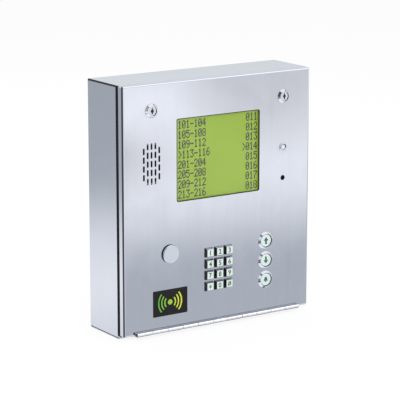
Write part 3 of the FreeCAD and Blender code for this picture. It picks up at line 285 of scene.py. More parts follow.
# painted reflection: the keys' upper and lower bevels are greyed and their side bevels near black
keyMetal = platedMetal("Satin chromed zinc keys", "#e4f2ea", "#f2faf5", (0.32, 0.42), 2.2, 0.000004,
                       paintedReflectionTones=("#b3acba", "#3c3d42"))
keyNames = ["key_%s" % word for word in "1 2 3 4 5 6 7 8 9 star 0 hash".split()]
finishNodes(keyMetal, keyNames)
zinc = platedMetal("Zinc plated steel, blue passivated", "#989ca2", "#c3c6c8", (0.22, 0.42), 4.5, 0.00001)
finishNodes(zinc, ["left_lock_cam", "right_lock_cam", "door_nuts", "panel_nuts", "battery_bracket",
                   "board_fixings", "speaker_basket"])
canMetal = platedMetal("Drawn aluminium can", "#b4b6b8", "#cccdce", (0.25, 0.4), 2.0, 0.000006)
finishNodes(canMetal, ["microphone_capsule"])
tinMetal = platedMetal("Tinned brass terminals", "#b9b6a8", "#d6d3c4", (0.2, 0.32), 1.5, 0.000004)
print("metals done")


# plastics, rubbers and paper

shade = {"size": 18, "grainShare": 0.4, "range": (0.45, 0.95)}      # its size against the grain


def grainedSolid(name, dark, light, roughness, grain, depth, surface=None):
    # moulded or pressed stuff: a fine even grain, slow shade changes and dull patches from handling
    material, tree, shader, coords = startMaterial(name, surface or {})
    fine = noise(tree, coords, grain, detail=2.0)
    slow = noise(tree, coords, grain * shade["size"], detail=3.0)
    share = spread(tree, maths(tree, "MULTIPLY_ADD", fine, shade["grainShare"], slow), *shade["range"])
    feed(tree, shader, {
        "Base Color": mixTones(tree, share, dark, light),
        "Roughness": spread(tree, slow, *noiseRange, *roughness),
        "Normal": bump(tree, fine, depth, strength=0.7)})
    return material


moulded = {  # two tones, roughness, grain in mm and its depth in metres, the shader's own values, and nodes
    "Moulded grey silicone": ("#8b8f8c", "#a0a4a1", (0.5, 0.65), 0.5, 0.00002, {}, ["keypad_dome_mat"]),
    "Sintered ferrite magnet": (
        "#2d2d2f", "#454548", (0.45, 0.6), 0.8, 0.00004, {"Metallic": 0.4}, ["speaker_magnet"]),
    "Pressed black paper cone": ("#0e0e0f", "#1b1b1d", (0.75, 0.9), 0.8, 0.00005, {}, ["speaker_cone"]),
    "Frosted acrylic light guide": (
        "#d6dcc4", "#e6ebd6", (0.3, 0.45), 0.8, 0.00001,
        {"IOR": 1.49, "Transmission Weight": 0.3}, ["display_backlight"]),
    "Polished black polycarbonate": (
        "#141415", "#1c1c1d", (0.18, 0.28), 1.5, 0.000004,
        {"IOR": 1.5, "Specular IOR Level": 0.22}, ["reader_window"]),
    "Clear moulded indicator lens": (
        "#eef3f8", "#f9fbfd", (0.05, 0.12), 1.2, 0.000004,
        {"IOR": 1.49, "Transmission Weight": 0.1}, ["indicator_lens"]),
}
for name, (*recipe, nodes) in moulded.items():
    finishNodes(grainedSolid(name, *recipe), nodes)
rubber = grainedSolid("Extruded EPDM rubber", "#121214", "#26272a", (0.6, 0.8), 0.6, 0.00003)
finishNodes(rubber, ["door_gasket", "cable_bushing", "microphone_boot"])
moulding = {"IOR": 1.53}
blackPlastic = grainedSolid("Spark textured black ABS", "#161618", "#242427", (0.42, 0.56), 0.5, 0.00003,
                            moulding)
finishNodes(blackPlastic, ["display_bezel", "keypad_housing", "button_switches", "reader_module", "relays",
                           "microchips"])
batteryPlastic = grainedSolid("Moulded grey ABS battery case", "#2b2d30", "#3a3c40", (0.4, 0.55), 0.7,
                              0.00003, moulding)
finishNodes(batteryPlastic, ["backup_battery"])
terminalPlastic = grainedSolid("Moulded green polyamide", "#1f7a45", "#2f9658", (0.38, 0.5), 0.5, 0.00002,
                               moulding)
finishNodes(terminalPlastic, ["terminal_blocks"])
felt = grainedSolid("Pressed black wool felt", "#121316", "#1d1e22", (0.85, 0.95), 0.9, 0.0001,
                    {"Specular IOR Level": 0.1})
tan = grainedSolid("Fired ceramic chips", "#8d7354", "#a98c68", (0.4, 0.55), 0.6, 0.000005)
paleNylon = grainedSolid("Moulded natural nylon", "#d8d4c4", "#e8e5d8", (0.4, 0.5), 0.8, 0.00001)
labelPaper = grainedSolid("Coated paper label, left bare", "#c9cbc8", "#dcdedb", (0.35, 0.5), 1.4, 0.000008)


lacquer = {
    "cell": 17,                    # mm between the groups of copper runs
    "runPitch": 0.09, "runEdges": (0.035, 0.055),
    "colours": ("#12482d", "#226b43"),
    "weave": 1.2,                  # mm
    "roughness": (0.2, 0.36),
    "runHeight": 0.00004,
}


def boardLacquer():
    # glass epoxy with green solder mask: raised copper runs show lighter under the lacquer
    material, tree, shader, coords = startMaterial("Green lacquered glass epoxy", {"IOR": 1.5})
    cells = addNode(tree, "ShaderNodeTexVoronoi", {
        "Vector": coords, "Scale": perMetre(lacquer["cell"])}, distance="CHEBYCHEV")
    runs = spread(tree, maths(tree, "PINGPONG", cells.outputs["Distance"], lacquer["runPitch"]),
                  *lacquer["runEdges"])
    weave = noise(tree, coords, lacquer["weave"], detail=2.0)
    feed(tree, shader, {
        "Base Color": mixTones(tree, runs, *lacquer["colours"]),
        "Roughness": spread(tree, weave, 0.0, 1.0, *lacquer["roughness"]),
        "Normal": bump(tree, runs, lacquer["runHeight"], strength=0.6)})
    return material


finishNodes(boardLacquer(), ["main_board", "display_board", "keypad_board"])
print("plastics and boards done")

# finishes of the pieces made here: a material and the record's slot
tin = (tinMetal, "zinc_plated_steel")
zincPlate = (zinc, "zinc_plated_steel")
black = (blackPlastic, "black_plastic")
pale = (paleNylon, "backlight_acrylic")
seal = (rubber, "seal_rubber")


# shapes that several pieces use

def arc(x, z, wide, tall, degrees):  # points at these angles on an ellipse, its two radii wide and tall
    return [(x + wide * math.cos(a), z + tall * math.sin(a)) for a in map(math.radians, degrees)]


def ellipse(x, z, wide, tall, count):
    return arc(x, z, wide, tall, [360 * i / count for i in range(count)])


def arcBand(x, z, inner, outer, start, end, steps=14):
    degrees = [start + (end - start) * i / steps for i in range(steps + 1)]
    return arc(x, z, outer, outer, degrees) + arc(x, z, inner, inner, degrees[::-1])


def rectangle(x, z, wide, tall):
    return [(x + sx * wide / 2, z + sz * tall / 2) for sx, sz in ((-1, -1), (1, -1), (1, 1), (-1, 1))]


def roundedRectangle(width, height, radius, centre, steps=8):
    points = []
    for turn, (sx, sz) in enumerate(((1, 1), (-1, 1), (-1, -1), (1, -1))):
        points += arc(centre[0] + sx * (width / 2 - radius), centre[1] + sz * (height / 2 - radius),
                      radius, radius, [90 * (turn + i / steps) for i in range(steps + 1)])
    return points


def meshFrom(made):  # the mesh of a finished bmesh, its faces turned outward
    bmesh.ops.recalc_face_normals(made, faces=made.faces)
    mesh = bpy.data.meshes.new("shape")
    made.to_mesh(mesh)
    made.free()
    return mesh


def plateMesh(outlines, front, thickness):
    # flat shapes drawn as seen from the front, in x and z, given a thickness
    made = bmesh.new()
    for outline in outlines:
        flat = made.faces.new([made.verts.new((x, front, z)) for x, z in outline])
        grown = bmesh.ops.extrude_face_region(made, geom=[flat])
        for item in grown["geom"]:
            if isinstance(item, bmesh.types.BMVert):
                item.co.y += thickness
    return meshFrom(made)


def joinRings(made, rings):  # faces from each ring of corners to the next, and from the last to the first
    count = len(rings[0])
    for one, two in zip(rings, rings[1:] + rings[:1]):
        for i in range(count):
            after = (i + 1) % count
            corners = dict.fromkeys((one[i], one[after], two[after], two[i]))
            if len(corners) > 2:
                made.faces.new(list(corners))


def turnedMesh(profile, places, steps=40, sharpAngle=35):
    # rings and discs round the front to back axis: (radius, y) pairs, closed, one copy at each (x, z)
    made = bmesh.new()
    for x, z in places:
        rings = []
        for radius, y in profile:
            if radius == 0:
                rings.append([made.verts.new((x, y, z))] * steps)
            else:
                rings.append([made.verts.new((px, y, pz)) for px, pz in ellipse(x, z, radius, radius, steps)])
        joinRings(made, rings)
    mesh = meshFrom(made)
    mesh.shade_smooth()
    mesh.set_sharp_from_angle(angle=math.radians(sharpAngle))
    return mesh


def frameMesh(outer, inner, front, back):
    # a flat frame between two outlines of as many points
    made = bmesh.new()
    joinRings(made, [[made.verts.new((x, y, z)) for x, z in line]
                     for line, y in ((outer, front), (inner, front), (inner, back), (outer, back))])
    return meshFrom(made)


def bakedMesh(source):  # the mesh that a curve or a modifier makes; the object that carried it goes
    bpy.context.view_layer.update()
    mesh = bpy.data.meshes.new_from_object(source.evaluated_get(bpy.context.evaluated_depsgraph_get()))
    bpy.data.objects.remove(source)
    return mesh


def repeatTree(name, shape):
    # puts one small block, dome or disc on every point of the mesh that it is given
    tree = bpy.data.node_groups.new(name, "GeometryNodeTree")
    tree.is_modifier = True
    sockets = tree.interface
    sockets.new_socket("Geometry", in_out="INPUT", socket_type="NodeSocketGeometry")
    for word in ("Width", "Depth", "Height"):
        sockets.new_socket(word, in_out="INPUT", socket_type="NodeSocketFloat")
    sockets.new_socket("Geometry", in_out="OUTPUT", socket_type="NodeSocketGeometry")
    given = addNode(tree, "NodeGroupInput")
    size = addNode(tree, "ShaderNodeCombineXYZ", {
        0: given.outputs["Width"], 1: given.outputs["Depth"], 2: given.outputs["Height"]}).outputs[0]
    if shape == "block":
        one = addNode(tree, "GeometryNodeMeshCube", {"Size": size})
    elif shape == "dome":
        ball = addNode(tree, "GeometryNodeMeshIcoSphere", {"Radius": 0.5, "Subdivisions": 2})
        one = addNode(tree, "GeometryNodeTransform", {"Geometry": ball.outputs[0], "Scale": size})
    else:
        drum = addNode(tree, "GeometryNodeMeshCylinder", {"Vertices": 20, "Radius": 0.5, "Depth": 1.0})
        turned = addNode(tree, "GeometryNodeTransform", {
            "Geometry": drum.outputs[0], "Rotation": (math.pi / 2, 0, 0)})
        one = addNode(tree, "GeometryNodeTransform", {"Geometry": turned.outputs[0], "Scale": size})
    many = addNode(tree, "GeometryNodeInstanceOnPoints", {
        "Points": given.outputs["Geometry"], "Instance": one.outputs[0]})
    real = addNode(tree, "GeometryNodeRealizeInstances", {0: many.outputs[0]})
    addNode(tree, "NodeGroupOutput", {0: real.outputs[0]})
    return tree


repeatTrees = {shape: repeatTree("%s on every point" % shape.capitalize(), shape)
               for shape in ("block", "dome", "disc")}


def repeatPiece(name, points, size, body, finish, shape="block"):
    # small things of one size: across, front to back and upright
    mesh = bpy.data.meshes.new("points")
    mesh.from_pydata(points, [], [])
    carrier = newObject("carrier", mesh)
    modifier = carrier.modifiers.new("Repeat", "NODES")
    modifier.node_group = repeatTrees[shape]
    values = dict(zip(("Width", "Depth", "Height"), size))
    for item in modifier.node_group.interface.items_tree:
        if item.name in values:
            modifier[item.identifier] = values[item.name]
    return newPiece(name, bakedMesh(carrier), body, finish)


# display

screen = {
    "width": 0.1525, "height": 0.1277,    # the door's cut-out
    "corner": 0.003,
    "centre": (0.0, 0.07305),
    "front": -0.0922,                     # the liquid crystal cell's front face
    "columns": 20, "cellColumns": 6,      # each character is 5 by 7 dots in a 6 wide cell
    "dotPitch": (0.00122, 0.00177),
    "linePitch": 0.0153,
    "dotFill": (1.4, 1.05),               # strokes run together, as they do to the eye
    "dotThickness": 0.00008,
    "netShare": 0.82,                     # the faint net of electrodes starts this far through a dot
    "left": -0.0702, "top": 0.1316,       # first dot
    "lines": [("101-104", "011"), ("105-108", "012"), ("109-112", "013"), (">113-116", ">014"),
              ("201-204", "015"), ("205-208", "016"), ("209-212", "017"), ("213-216", "018")],
}

dotFont = {  # rows from the top, five dots wide, as in any character display
    "0": "01110 10001 10011 10101 11001 10001 01110", "1": "00100 01100 00100 00100 00100 00100 01110",
    "2": "01110 10001 00001 00010 00100 01000 11111", "3": "11111 00010 00100 00010 00001 10001 01110",
    "4": "00010 00110 01010 10010 11111 00010 00010", "5": "11111 10000 11110 00001 00001 10001 01110",
    "6": "00110 01000 10000 11110 10001 10001 01110", "7": "11111 00001 00010 00100 01000 01000 01000",
    "8": "01110 10001 10001 01110 10001 10001 01110", "9": "01110 10001 10001 01111 00001 00010 01100",
    "-": "00000 00000 00000 11111 00000 00000 00000", ">": "01000 00100 00010 00001 00010 00100 01000",
}


def screenCell():
    # liquid crystal cell lit from behind: yellow green, with the faint net of its dot electrodes
    material, tree, shader, coords = startMaterial("Backlit liquid crystal cell", {
        "Roughness": 0.35, "IOR": 1.52, "Specular IOR Level": 0.15, "Emission Strength": 0.55})
    gaps = []
    for axis, pitch in zip((0, 2), screen["dotPitch"]):
        part = maths(tree, "FRACT", maths(tree, "MULTIPLY", axisOf(tree, coords, axis), 1 / pitch))
        gaps.append(maths(tree, "GREATER_THAN", part, screen["netShare"]))
    glow = mixTones(tree, noise(tree, coords, mm=60, detail=1.0), "#8ba80e", "#93b012")
    lit = mixTones(tree, maths(tree, "MAXIMUM", *gaps), glow, "#84a10e")
    feed(tree, shader, {"Base Color": lit, "Emission Color": lit})
    return material


def clearPane():
    # extruded polycarbonate pane: clear, glossy, with a whisper of haze from cleaning
    material, tree, shader, coords = startMaterial("Clear polycarbonate pane", {
        "Base Color": linear("#f8faf4"), "IOR": 1.5, "Transmission Weight": 1.0, "Specular IOR Level": 0.15})
    haze = noise(tree, coords, mm=22, detail=5.0)
    feed(tree, shader, {"Roughness": spread(tree, haze, 0.4, 0.7, 0.0, 0.05)})
    return material


finishNodes(screenCell(), ["display_glass"])
finishNodes(clearPane(), ["display_window"])
dotInk = grainedSolid("Dark liquid crystal dots", "#101a08", "#16220c", (0.45, 0.55), 0.9, 0.000002,
                      {"Specular IOR Level": 0.15})


def dotPlaces():
    places = []
    pitchX, pitchZ = screen["dotPitch"]
    y = screen["front"] - screen["dotThickness"] / 2
    for row, (word, number) in enumerate(screen["lines"]):
        top = screen["top"] - row * screen["linePitch"]
        for text, first in ((word, 0), (number, screen["columns"] - len(number))):
            for column, letter in enumerate(text, first):
                left = screen["left"] + column * screen["cellColumns"] * pitchX
                for down, bits in enumerate(dotFont[letter].split()):
                    places += [(left + right * pitchX, y, top - down * pitchZ)
                               for right, bit in enumerate(bits) if bit == "1"]
    return places


dotSize = [pitch * fill for pitch, fill in zip(screen["dotPitch"], screen["dotFill"])]
dots = repeatPiece("display_dots", dotPlaces(), (dotSize[0], screen["dotThickness"], dotSize[1]),
                   "door", (dotInk, "lcd_dots"))

doorFace = -0.098
trim = {"width": 0.0011, "proud": 0.00012, "depth": 0.0021}   # rubber edging round the display's cut-out, and painted shade: it gives the dark outline that the cut-out's edge has in shade
trimFront = doorFace - trim["proud"]
trimOuter = roundedRectangle(screen["width"], screen["height"], screen["corner"], screen["centre"])
trimInner = roundedRectangle(screen["width"] - 2 * trim["width"], screen["height"] - 2 * trim["width"],
                             screen["corner"] - trim["width"] / 2, screen["centre"])
newPiece("display_trim_and_edge_shade", frameMesh(trimOuter, trimInner, trimFront, trimFront + trim["depth"]), "door", seal)
print("display done:", len(dots.data.polygons), "faces of dots")


# legends on the keys and buttons

legend = {
    "keyHeight": 0.008,     # digits, on an 11 mm key face
    "emHeight": 1.4,         # the font's size to the height of its digits
    "star": 1.05,            # the star's height to the digits'
    "bold": 0.00026,
    "thickness": 0.00012,    # how far the filled engraving stands over and under the face
    "symbolSize": 0.0112,
    "bell": 0.85,            # the bell's height to the arrows'
}
enamel = (grainedSolid("Green enamel in the engraving", "#1f6a32", "#28783c", (0.3, 0.4), 0.6, 0.000006),
          "legend_ink")


def textMesh(text, height, place):
    curve = bpy.data.curves.new("text", "FONT")
    curve.body = text
    curve.size = height * legend["emHeight"]
    curve.extrude = legend["thickness"]
    curve.offset = legend["bold"]
    curve.resolution_u = 4
    mesh = bakedMesh(newObject("text", curve))
    low = [min(v.co[i] for v in mesh.vertices) for i in range(2)]
    high = [max(v.co[i] for v in mesh.vertices) for i in range(2)]
    centre = Matrix.Translation((-(low[0] + high[0]) / 2, -(low[1] + high[1]) / 2, 0))
    scale = Matrix.Scale(min(1.0, height / (high[1] - low[1])), 4)
    mesh.transform(Matrix.Translation(place) @ Matrix.Rotation(math.pi / 2, 4, "X") @ scale @ centre)
    return mesh


def inlaid(outlines, centre):  # flat marks let into the face that the centre lies on
    return plateMesh(outlines, centre.y - legend["thickness"], 2 * legend["thickness"])


def starOutline(centre, size, arms=6, inner=0.3):
    points = []
    for i in range(2 * arms):
        reach = size / 2 * (1 if i % 2 == 0 else inner)
        points += arc(centre.x, centre.z, reach, reach, [90 + 180 * i / arms])
    return points


for name, mark in zip(keyNames, "123456789*0#"):
    centre = faceCentre(name)
    if mark == "*":
        mesh = inlaid([starOutline(centre, legend["keyHeight"] * legend["star"])], centre)
    else:
        mesh = textMesh(mark, legend["keyHeight"], centre)
    newPiece(name + "_legend", mesh, name, enamel)


def placed(shape, centre, size, sign=1):
    return [(centre.x + x * size, centre.z + sign * z * size) for x, z in shape]


arrow = [(-0.15, -0.5), (0.15, -0.5), (0.15, 0.0), (0.4, 0.0), (0.0, 0.5), (-0.4, 0.0), (-0.15, 0.0)]
bell = [(-0.46, -0.26), (0.46, -0.26), (0.34, -0.1)]      # flared rim, then the dome
bell += arc(0, 0.14, 0.28, 0.3, range(0, 181, 15)) + [(-0.34, -0.1)]
clapper = ellipse(0, -0.38, 0.12, 0.1, count=12)
symbols = {  # shapes of height 1, the height drawn and which way up
    "up_button": ([arrow], legend["symbolSize"], 1),
    "down_button": ([arrow], legend["symbolSize"], -1),
    "call_button": ([bell, clapper], legend["symbolSize"] * legend["bell"], 1),
}
for name, (shapes, height, sign) in symbols.items():
    centre = faceCentre(name)
    newPiece(name + "_symbol", inlaid([placed(shape, centre, height, sign) for shape in shapes], centre),
             name, enamel)
print("legends done")


# reader's mark

readerMark = {
    "centre": (-0.0885, -0.1445),
    "dot": 0.0042,
    "arcs": ((0.0085, 0.0108), (0.014, 0.0163), (0.0195, 0.0218)),
    "halfAngle": 42,
    "front": -0.0976,
    "thickness": 0.0001,
    "fade": 0.022,        # the ink's colour runs this far to each side
}


def gradientInk():
    # screen printed enamel behind gloss: green at the left runs to yellow at the right
    material, tree, shader, coords = startMaterial("Green to yellow screen print", {"IOR": 1.5})
    place = axisOf(tree, coords, 0)
    middle, fade = readerMark["centre"][0], readerMark["fade"]
    tone = addNode(tree, "ShaderNodeValToRGB", {0: spread(tree, place, middle - fade, middle + fade)},
                   stops=[(0.0, linear("#4fae3c")), (0.55, linear("#a9cf35")), (1.0, linear("#ecec3a"))])
    speck = noise(tree, coords, mm=0.8, detail=1.0)
    feed(tree, shader, {"Base Color": tone.outputs[0], "Roughness": spread(tree, speck, 0.0, 1.0, 0.25, 0.4)})
    return material


markX, markZ = readerMark["centre"]
markShapes = [ellipse(markX, markZ, readerMark["dot"], readerMark["dot"], count=24)]
for inner, outer in readerMark["arcs"]:
    for way in (0, 180):    # degrees: to the right and to the left
        markShapes.append(arcBand(markX, markZ, inner, outer, way - readerMark["halfAngle"],
                                  way + readerMark["halfAngle"]))
markMesh = plateMesh(markShapes, readerMark["front"] - readerMark["thickness"], 2 * readerMark["thickness"])
newPiece("reader_mark", markMesh, "door", (gradientInk(), "legend_ink"))
print("reader mark done")


# black rubber seals and skirts on the door's fittings, partly painted shade: they stand in for the shade
# inside the bores and round the plug's edge

def flatPlace(name):
    centre = faceCentre(name)
    return centre.x, centre.z


def sleeve(inner, outer, front, back):  # profile of a ring, or of a disc where the inner radius is 0
    return [(inner, front), (outer, front), (outer, back), (inner, back)]


# rubber seals lining the bores, and painted shade: they also darken the bores' walls where shade falls
seals = {  # bore of the fitting, its front face, the face of what moves in it, and the lap behind that
    "button_seals_and_bore_shade": (0.0105, -0.1012, -0.1, 0.001, list(symbols)),
    "lock_seals_and_bore_shade": (0.0075, -0.102, -0.1008, 0.0006, ["left_lock_core", "right_lock_core"]),
}
sealWall, sealSunk = 0.00022, 0.0001
for name, (bore, front, inside, lap, nodes) in seals.items():
    newPiece(name, turnedMesh(sleeve(bore - sealWall, bore, front + sealSunk, inside + lap),
                              [flatPlace(node) for node in nodes]), "door", seal)

# rubber skirt round the plug, and painted shade: it gives the dark edge round the plug's flank
skirt = sleeve(inner=0.0142, outer=0.01435, front=doorFace - 0.0022, back=doorFace)
newPiece("plug_skirt_and_edge_shade", turnedMesh(skirt, [flatPlace("blanking_plug")], steps=64), "door", seal)

feltDisc = sleeve(inner=0, outer=0.0039, front=-0.0951, back=-0.0941)
newPiece("microphone_felt", turnedMesh(feltDisc, [flatPlace("microphone_boot")]), "door",
         (felt, "speaker_paper"))

# painted shade: dark arcs at the right, top and left of the indicator's lens, none below, stand in for the
# shade in the gap round the lens
indicatorShade = {"bore": 0.0043, "front": -0.09925, "thickness": 0.0004,
         "bands": ((0.0012, -15, 62), (0.0011, 160, 205), (0.0004, 62, 160))}    # width, start and end
lampX, lampZ = flatPlace("indicator_bezel")
indicatorShadeArcs = [arcBand(lampX, lampZ, indicatorShade["bore"], indicatorShade["bore"] + width, start, end)
            for width, start, end in indicatorShade["bands"]]
newPiece("indicator_shade_arcs", plateMesh(indicatorShadeArcs, indicatorShade["front"], indicatorShade["thickness"]), "door", seal)


# dust shutters behind the keyways, and black discs on the ends of the hinge, painted shade for the open
# barrel ends

shutter = {"radius": 0.0026, "depth": 0.0009, "thickness": 0.0005,
           "slot": (0.0018, 0.0092), "slotSunk": 0.0002, "slotThickness": 0.0002}
for side in ("left", "right"):
    middle = faceCentre("%s_lock_core" % side)
    front = middle.y + shutter["depth"]
    bar = rectangle(middle.x, middle.z, *shutter["slot"])
    disc = ellipse(middle.x, middle.z, shutter["radius"], shutter["radius"], count=30)
    body = "%s_lock" % side
    newPiece(body + "_shutter", plateMesh([disc], front, shutter["thickness"]), body, black)
    newPiece(body + "_wards", plateMesh([bar], front + shutter["slotSunk"], shutter["slotThickness"]),
             body, black)

# painted shade: black discs over both barrel ends stand in for the shade inside the open barrel
barrelEndShade = {"end": 0.15085, "radius": 0.0029, "thickness": 0.0003}
pinLow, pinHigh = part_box("hinge_pin")
pinAxis = Vector((0, (pinLow.y + pinHigh.y) / 2, (pinLow.z + pinHigh.z) / 2))
for side, sign in (("left", -1), ("right", 1)):
    mesh = turnedMesh(sleeve(0, barrelEndShade["radius"], 0, barrelEndShade["thickness"]), [(0, 0)])
    mesh.transform(Matrix.Translation(pinAxis + Vector((sign * barrelEndShade["end"], 0, 0)))
                   @ Matrix.Rotation(-sign * math.pi / 2, 4, "Z"))
    newPiece("%s_hinge_plug" % side, mesh, "cabinet", black)
print("seals done")


# parts on the main board

boardFront = -0.0131


def onBoard(x, z, height):  # centre of a part of this height that stands on the main board
    return (x, boardFront - height / 2, z)


def centred(count, pitch):  # places of a row, either side of 0
    return [(i - (count - 1) / 2) * pitch for i in range(count)]


def eitherSide(places, reach):  # for each place one at its left and one at its right
    return [(x + side * reach, z) for x, z in places for side in (-1, 1)]


chips = {"x": (0.0, -0.024, -0.048), "z": 0.09, "rows": 12, "pitch": 0.00254, "legX": 0.0053,
         "leg": (0.0016, 0.0022, 0.0007)}
legRows = eitherSide([(x, chips["z"]) for x in chips["x"]], chips["legX"])
repeatPiece("chip_legs", [onBoard(x, z + step, chips["leg"][1]) for x, z in legRows
                          for step in centred(chips["rows"], chips["pitch"])],
            chips["leg"], "cabinet", tin)

processor = {"x": 0.06, "z": 0.09, "legs": 14, "pitch": 0.0018, "reach": 0.016}
legLong, legDeep, legThin = 0.0024, 0.0012, 0.0006
rims = [(side * processor["reach"], step) for side in (-1, 1)
        for step in centred(processor["legs"], processor["pitch"])]
for name, offsets, size in (
        ("processor_side_legs", rims, (legLong, legDeep, legThin)),
        ("processor_end_legs", [(dx, dz) for dz, dx in rims], (legThin, legDeep, legLong))):
    repeatPiece(name, [onBoard(processor["x"] + dx, processor["z"] + dz, legDeep) for dx, dz in offsets],
                size, "cabinet", tin)

strips = {"x": (-0.04, 0.04), "z": -0.012, "front": -0.0251, "ways": 12, "pitch": 0.00508,
          "screw": (0.0031, 0.001, 0.0031), "screwSunk": 0.0011, "slot": (0.0028, 0.0001, 0.0006)}
screws = [(x + step, strips["front"] + strips["screwSunk"], strips["z"])
          for x in strips["x"] for step in centred(strips["ways"], strips["pitch"])]
repeatPiece("terminal_screws", screws, strips["screw"], "cabinet", zincPlate, "disc")
repeatPiece("terminal_slots", [(x, y - strips["screw"][1] / 2, z) for x, y, z in screws],
            strips["slot"], "cabinet", black)

small = {"rows": (0.037, 0.0425, 0.048, 0.062, 0.0675), "first": -0.096, "pitch": 0.0072, "count": 27,
         "clear": (0.038, 0.082, 0.06),     # the processor's place: left, right and lower edge
         "resistor": (0.0022, 0.0007, 0.0016), "ceramic": (0.0022, 0.0011, 0.0016),
         "end": (0.0006, 0.0009, 0.0018), "endX": 0.0013}
smallPlaces = []
for z in small["rows"]:
    for x in [small["first"] + small["pitch"] * i for i in range(small["count"])]:
        if not (small["clear"][0] < x < small["clear"][1] and z > small["clear"][2]):
            smallPlaces.append((x, z))
for name, kind, places, finish in (
        ("board_resistors", "resistor", [p for i, p in enumerate(smallPlaces) if i % 3], black),
        ("board_ceramics", "ceramic", smallPlaces[::3], (tan, "backlight_acrylic")),
        ("board_part_ends", "end", eitherSide(smallPlaces, small["endX"]), tin)):
    repeatPiece(name, [onBoard(x, z, small[kind][1]) for x, z in places], small[kind], "cabinet", finish)

cans = {"places": [(-0.096, 0.012), (-0.082, 0.012), (-0.068, 0.012), (0.074, 0.016), (0.094, 0.016)],
        "height": 0.0135, "steps": 28,
        "foot": [(0, 0), (0.0046, 0), (0.005, -0.0004), (0.005, -0.0018), (0.0047, -0.0023),
                 (0.005, -0.0028)],         # radius and y from the board
        "head": [(0.005, 0.0004), (0.0046, 0), (0.0042, 0.0002), (0, 0.0002)],     # from the top
        "cap": [(0, 0.0003), (0.0041, 0.0003), (0.0039, -0.0001), (0, -0.0001)]}
canTop = boardFront - cans["height"]
canFoot = [(radius, boardFront + y) for radius, y in cans["foot"]]
canHead, canCap = [[(radius, canTop + y) for radius, y in cans[part]] for part in ("head", "cap")]
newPiece("board_capacitor_sleeves", turnedMesh(canFoot + canHead, cans["places"], cans["steps"]),
         "cabinet", (batteryPlastic, "black_plastic"))
newPiece("board_capacitor_tops", turnedMesh(canCap, cans["places"], cans["steps"]),
         "cabinet", (canMetal, "microphone_can"))

boardLamps = {"x": 0.098, "z": (0.044, 0.05, 0.056), "standing": 0.0018, "size": (0.0032, 0.0036, 0.0032)}
repeatPiece("board_lamps", [onBoard(boardLamps["x"], z, boardLamps["standing"]) for z in boardLamps["z"]],
            boardLamps["size"], "cabinet", (terminalPlastic, "terminal_plastic"), "dome")

header = {"pitch": 0.0025, "block": (0.0025, 0.0062, 0.0056), "pin": (0.0006, 0.0084, 0.0006),
          "places": [(-0.094, 0.118, 8), (0.012, 0.118, 14), (0.088, 0.118, 6)]}      # x, z and ways
headerWays = [(x + step, z) for x, z, ways in header["places"] for step in centred(ways, header["pitch"])]
for name, kind, finish in (("board_headers", "block", pale), ("board_header_pins", "pin", tin)):
    repeatPiece(name, [onBoard(x, z, header[kind][1]) for x, z in headerWays], header[kind],
                "cabinet", finish)

relays = {"x": (-0.042, -0.014, 0.014, 0.042), "z": 0.015, "height": 0.0156, "ribs": 4,
          "ribPitch": 0.0036, "rib": (0.015, 0.0004, 0.0006)}
repeatPiece("relay_ribs", [(x, boardFront - relays["height"], relays["z"] + step)
                           for x in relays["x"] for step in centred(relays["ribs"], relays["ribPitch"])],
            relays["rib"], "cabinet", black)
print("main board done")


# battery

battery = {"x": -0.095, "front": -0.0457, "tagX": 0.0405, "tagY": -0.0242, "tagZ": -0.0645,
           "tag": (0.0009, 0.0049, 0.00698), "label": (0.058, 0.022), "labelZ": -0.0855,
           "labelCorner": 0.0015, "labelProud": 0.0001}
tags = eitherSide([(battery["x"], battery["tagZ"])], battery["tagX"])
repeatPiece("battery_tags", [(x, battery["tagY"], z) for x, z in tags], battery["tag"], "cabinet", tin)
labelShape = roundedRectangle(*battery["label"], battery["labelCorner"], (battery["x"], battery["labelZ"]))
labelMesh = plateMesh([labelShape], battery["front"] - battery["labelProud"], 2 * battery["labelProud"])
newPiece("battery_label", labelMesh, "cabinet", (labelPaper, "speaker_paper"))


# backs of the door's boards and the speaker

displayRear = {"y": -0.0829, "first": -0.066, "pitch": 0.0078, "count": 18,
               "rows": (0.022, 0.028, 0.034, 0.112, 0.118, 0.124),
               "part": (0.0022, 0.001, 0.0014), "partY": 0.0005,
               "end": (0.0006, 0.0011, 0.0016), "endX": 0.0013,
               "driverX": (-0.045, 0.0, 0.045), "driverZ": (0.055, 0.088),
               "driver": (0.02, 0.002, 0.014), "driverY": 0.001,
               "leg": (0.0018, 0.0008, 0.0004), "legX": 0.0107, "legs": 14, "legPitch": 0.0009,
               "headerX": -0.062, "headerZ": 0.0725, "headerWays": 10}
socket = {"pitch": 0.0025, "block": (0.0025, 0.0056, 0.0056), "y": 0.0028}      # plug headers on the door


def behindDisplay(places, depth):
    return [(x, displayRear["y"] + depth, z) for x, z in places]


grid = [(displayRear["first"] + displayRear["pitch"] * i, z)
        for z in displayRear["rows"] for i in range(displayRear["count"])]
backParts = [place for i, place in enumerate(grid) if i % 4]
backEnds = eitherSide(backParts, displayRear["endX"])
drivers = [(x, z) for x in displayRear["driverX"] for z in displayRear["driverZ"]]
driverLegs = [(x, z + step) for x, z in eitherSide(drivers, displayRear["legX"])
              for step in centred(displayRear["legs"], displayRear["legPitch"])]
headerPlaces = [(displayRear["headerX"] + socket["pitch"] * way, displayRear["headerZ"])
                for way in range(displayRear["headerWays"])]
for name, places, depth, size, finish in (
        ("display_board_parts", backParts, displayRear["partY"], displayRear["part"], black),
        ("display_board_ends", backEnds, displayRear["partY"], displayRear["end"], tin),
        ("display_drivers", drivers, displayRear["driverY"], displayRear["driver"], black),
        ("display_driver_legs", driverLegs, displayRear["partY"], displayRear["leg"], tin),
        ("display_header", headerPlaces, socket["y"], socket["block"], pale)):
    repeatPiece(name, behindDisplay(places, depth), size, "door", finish)

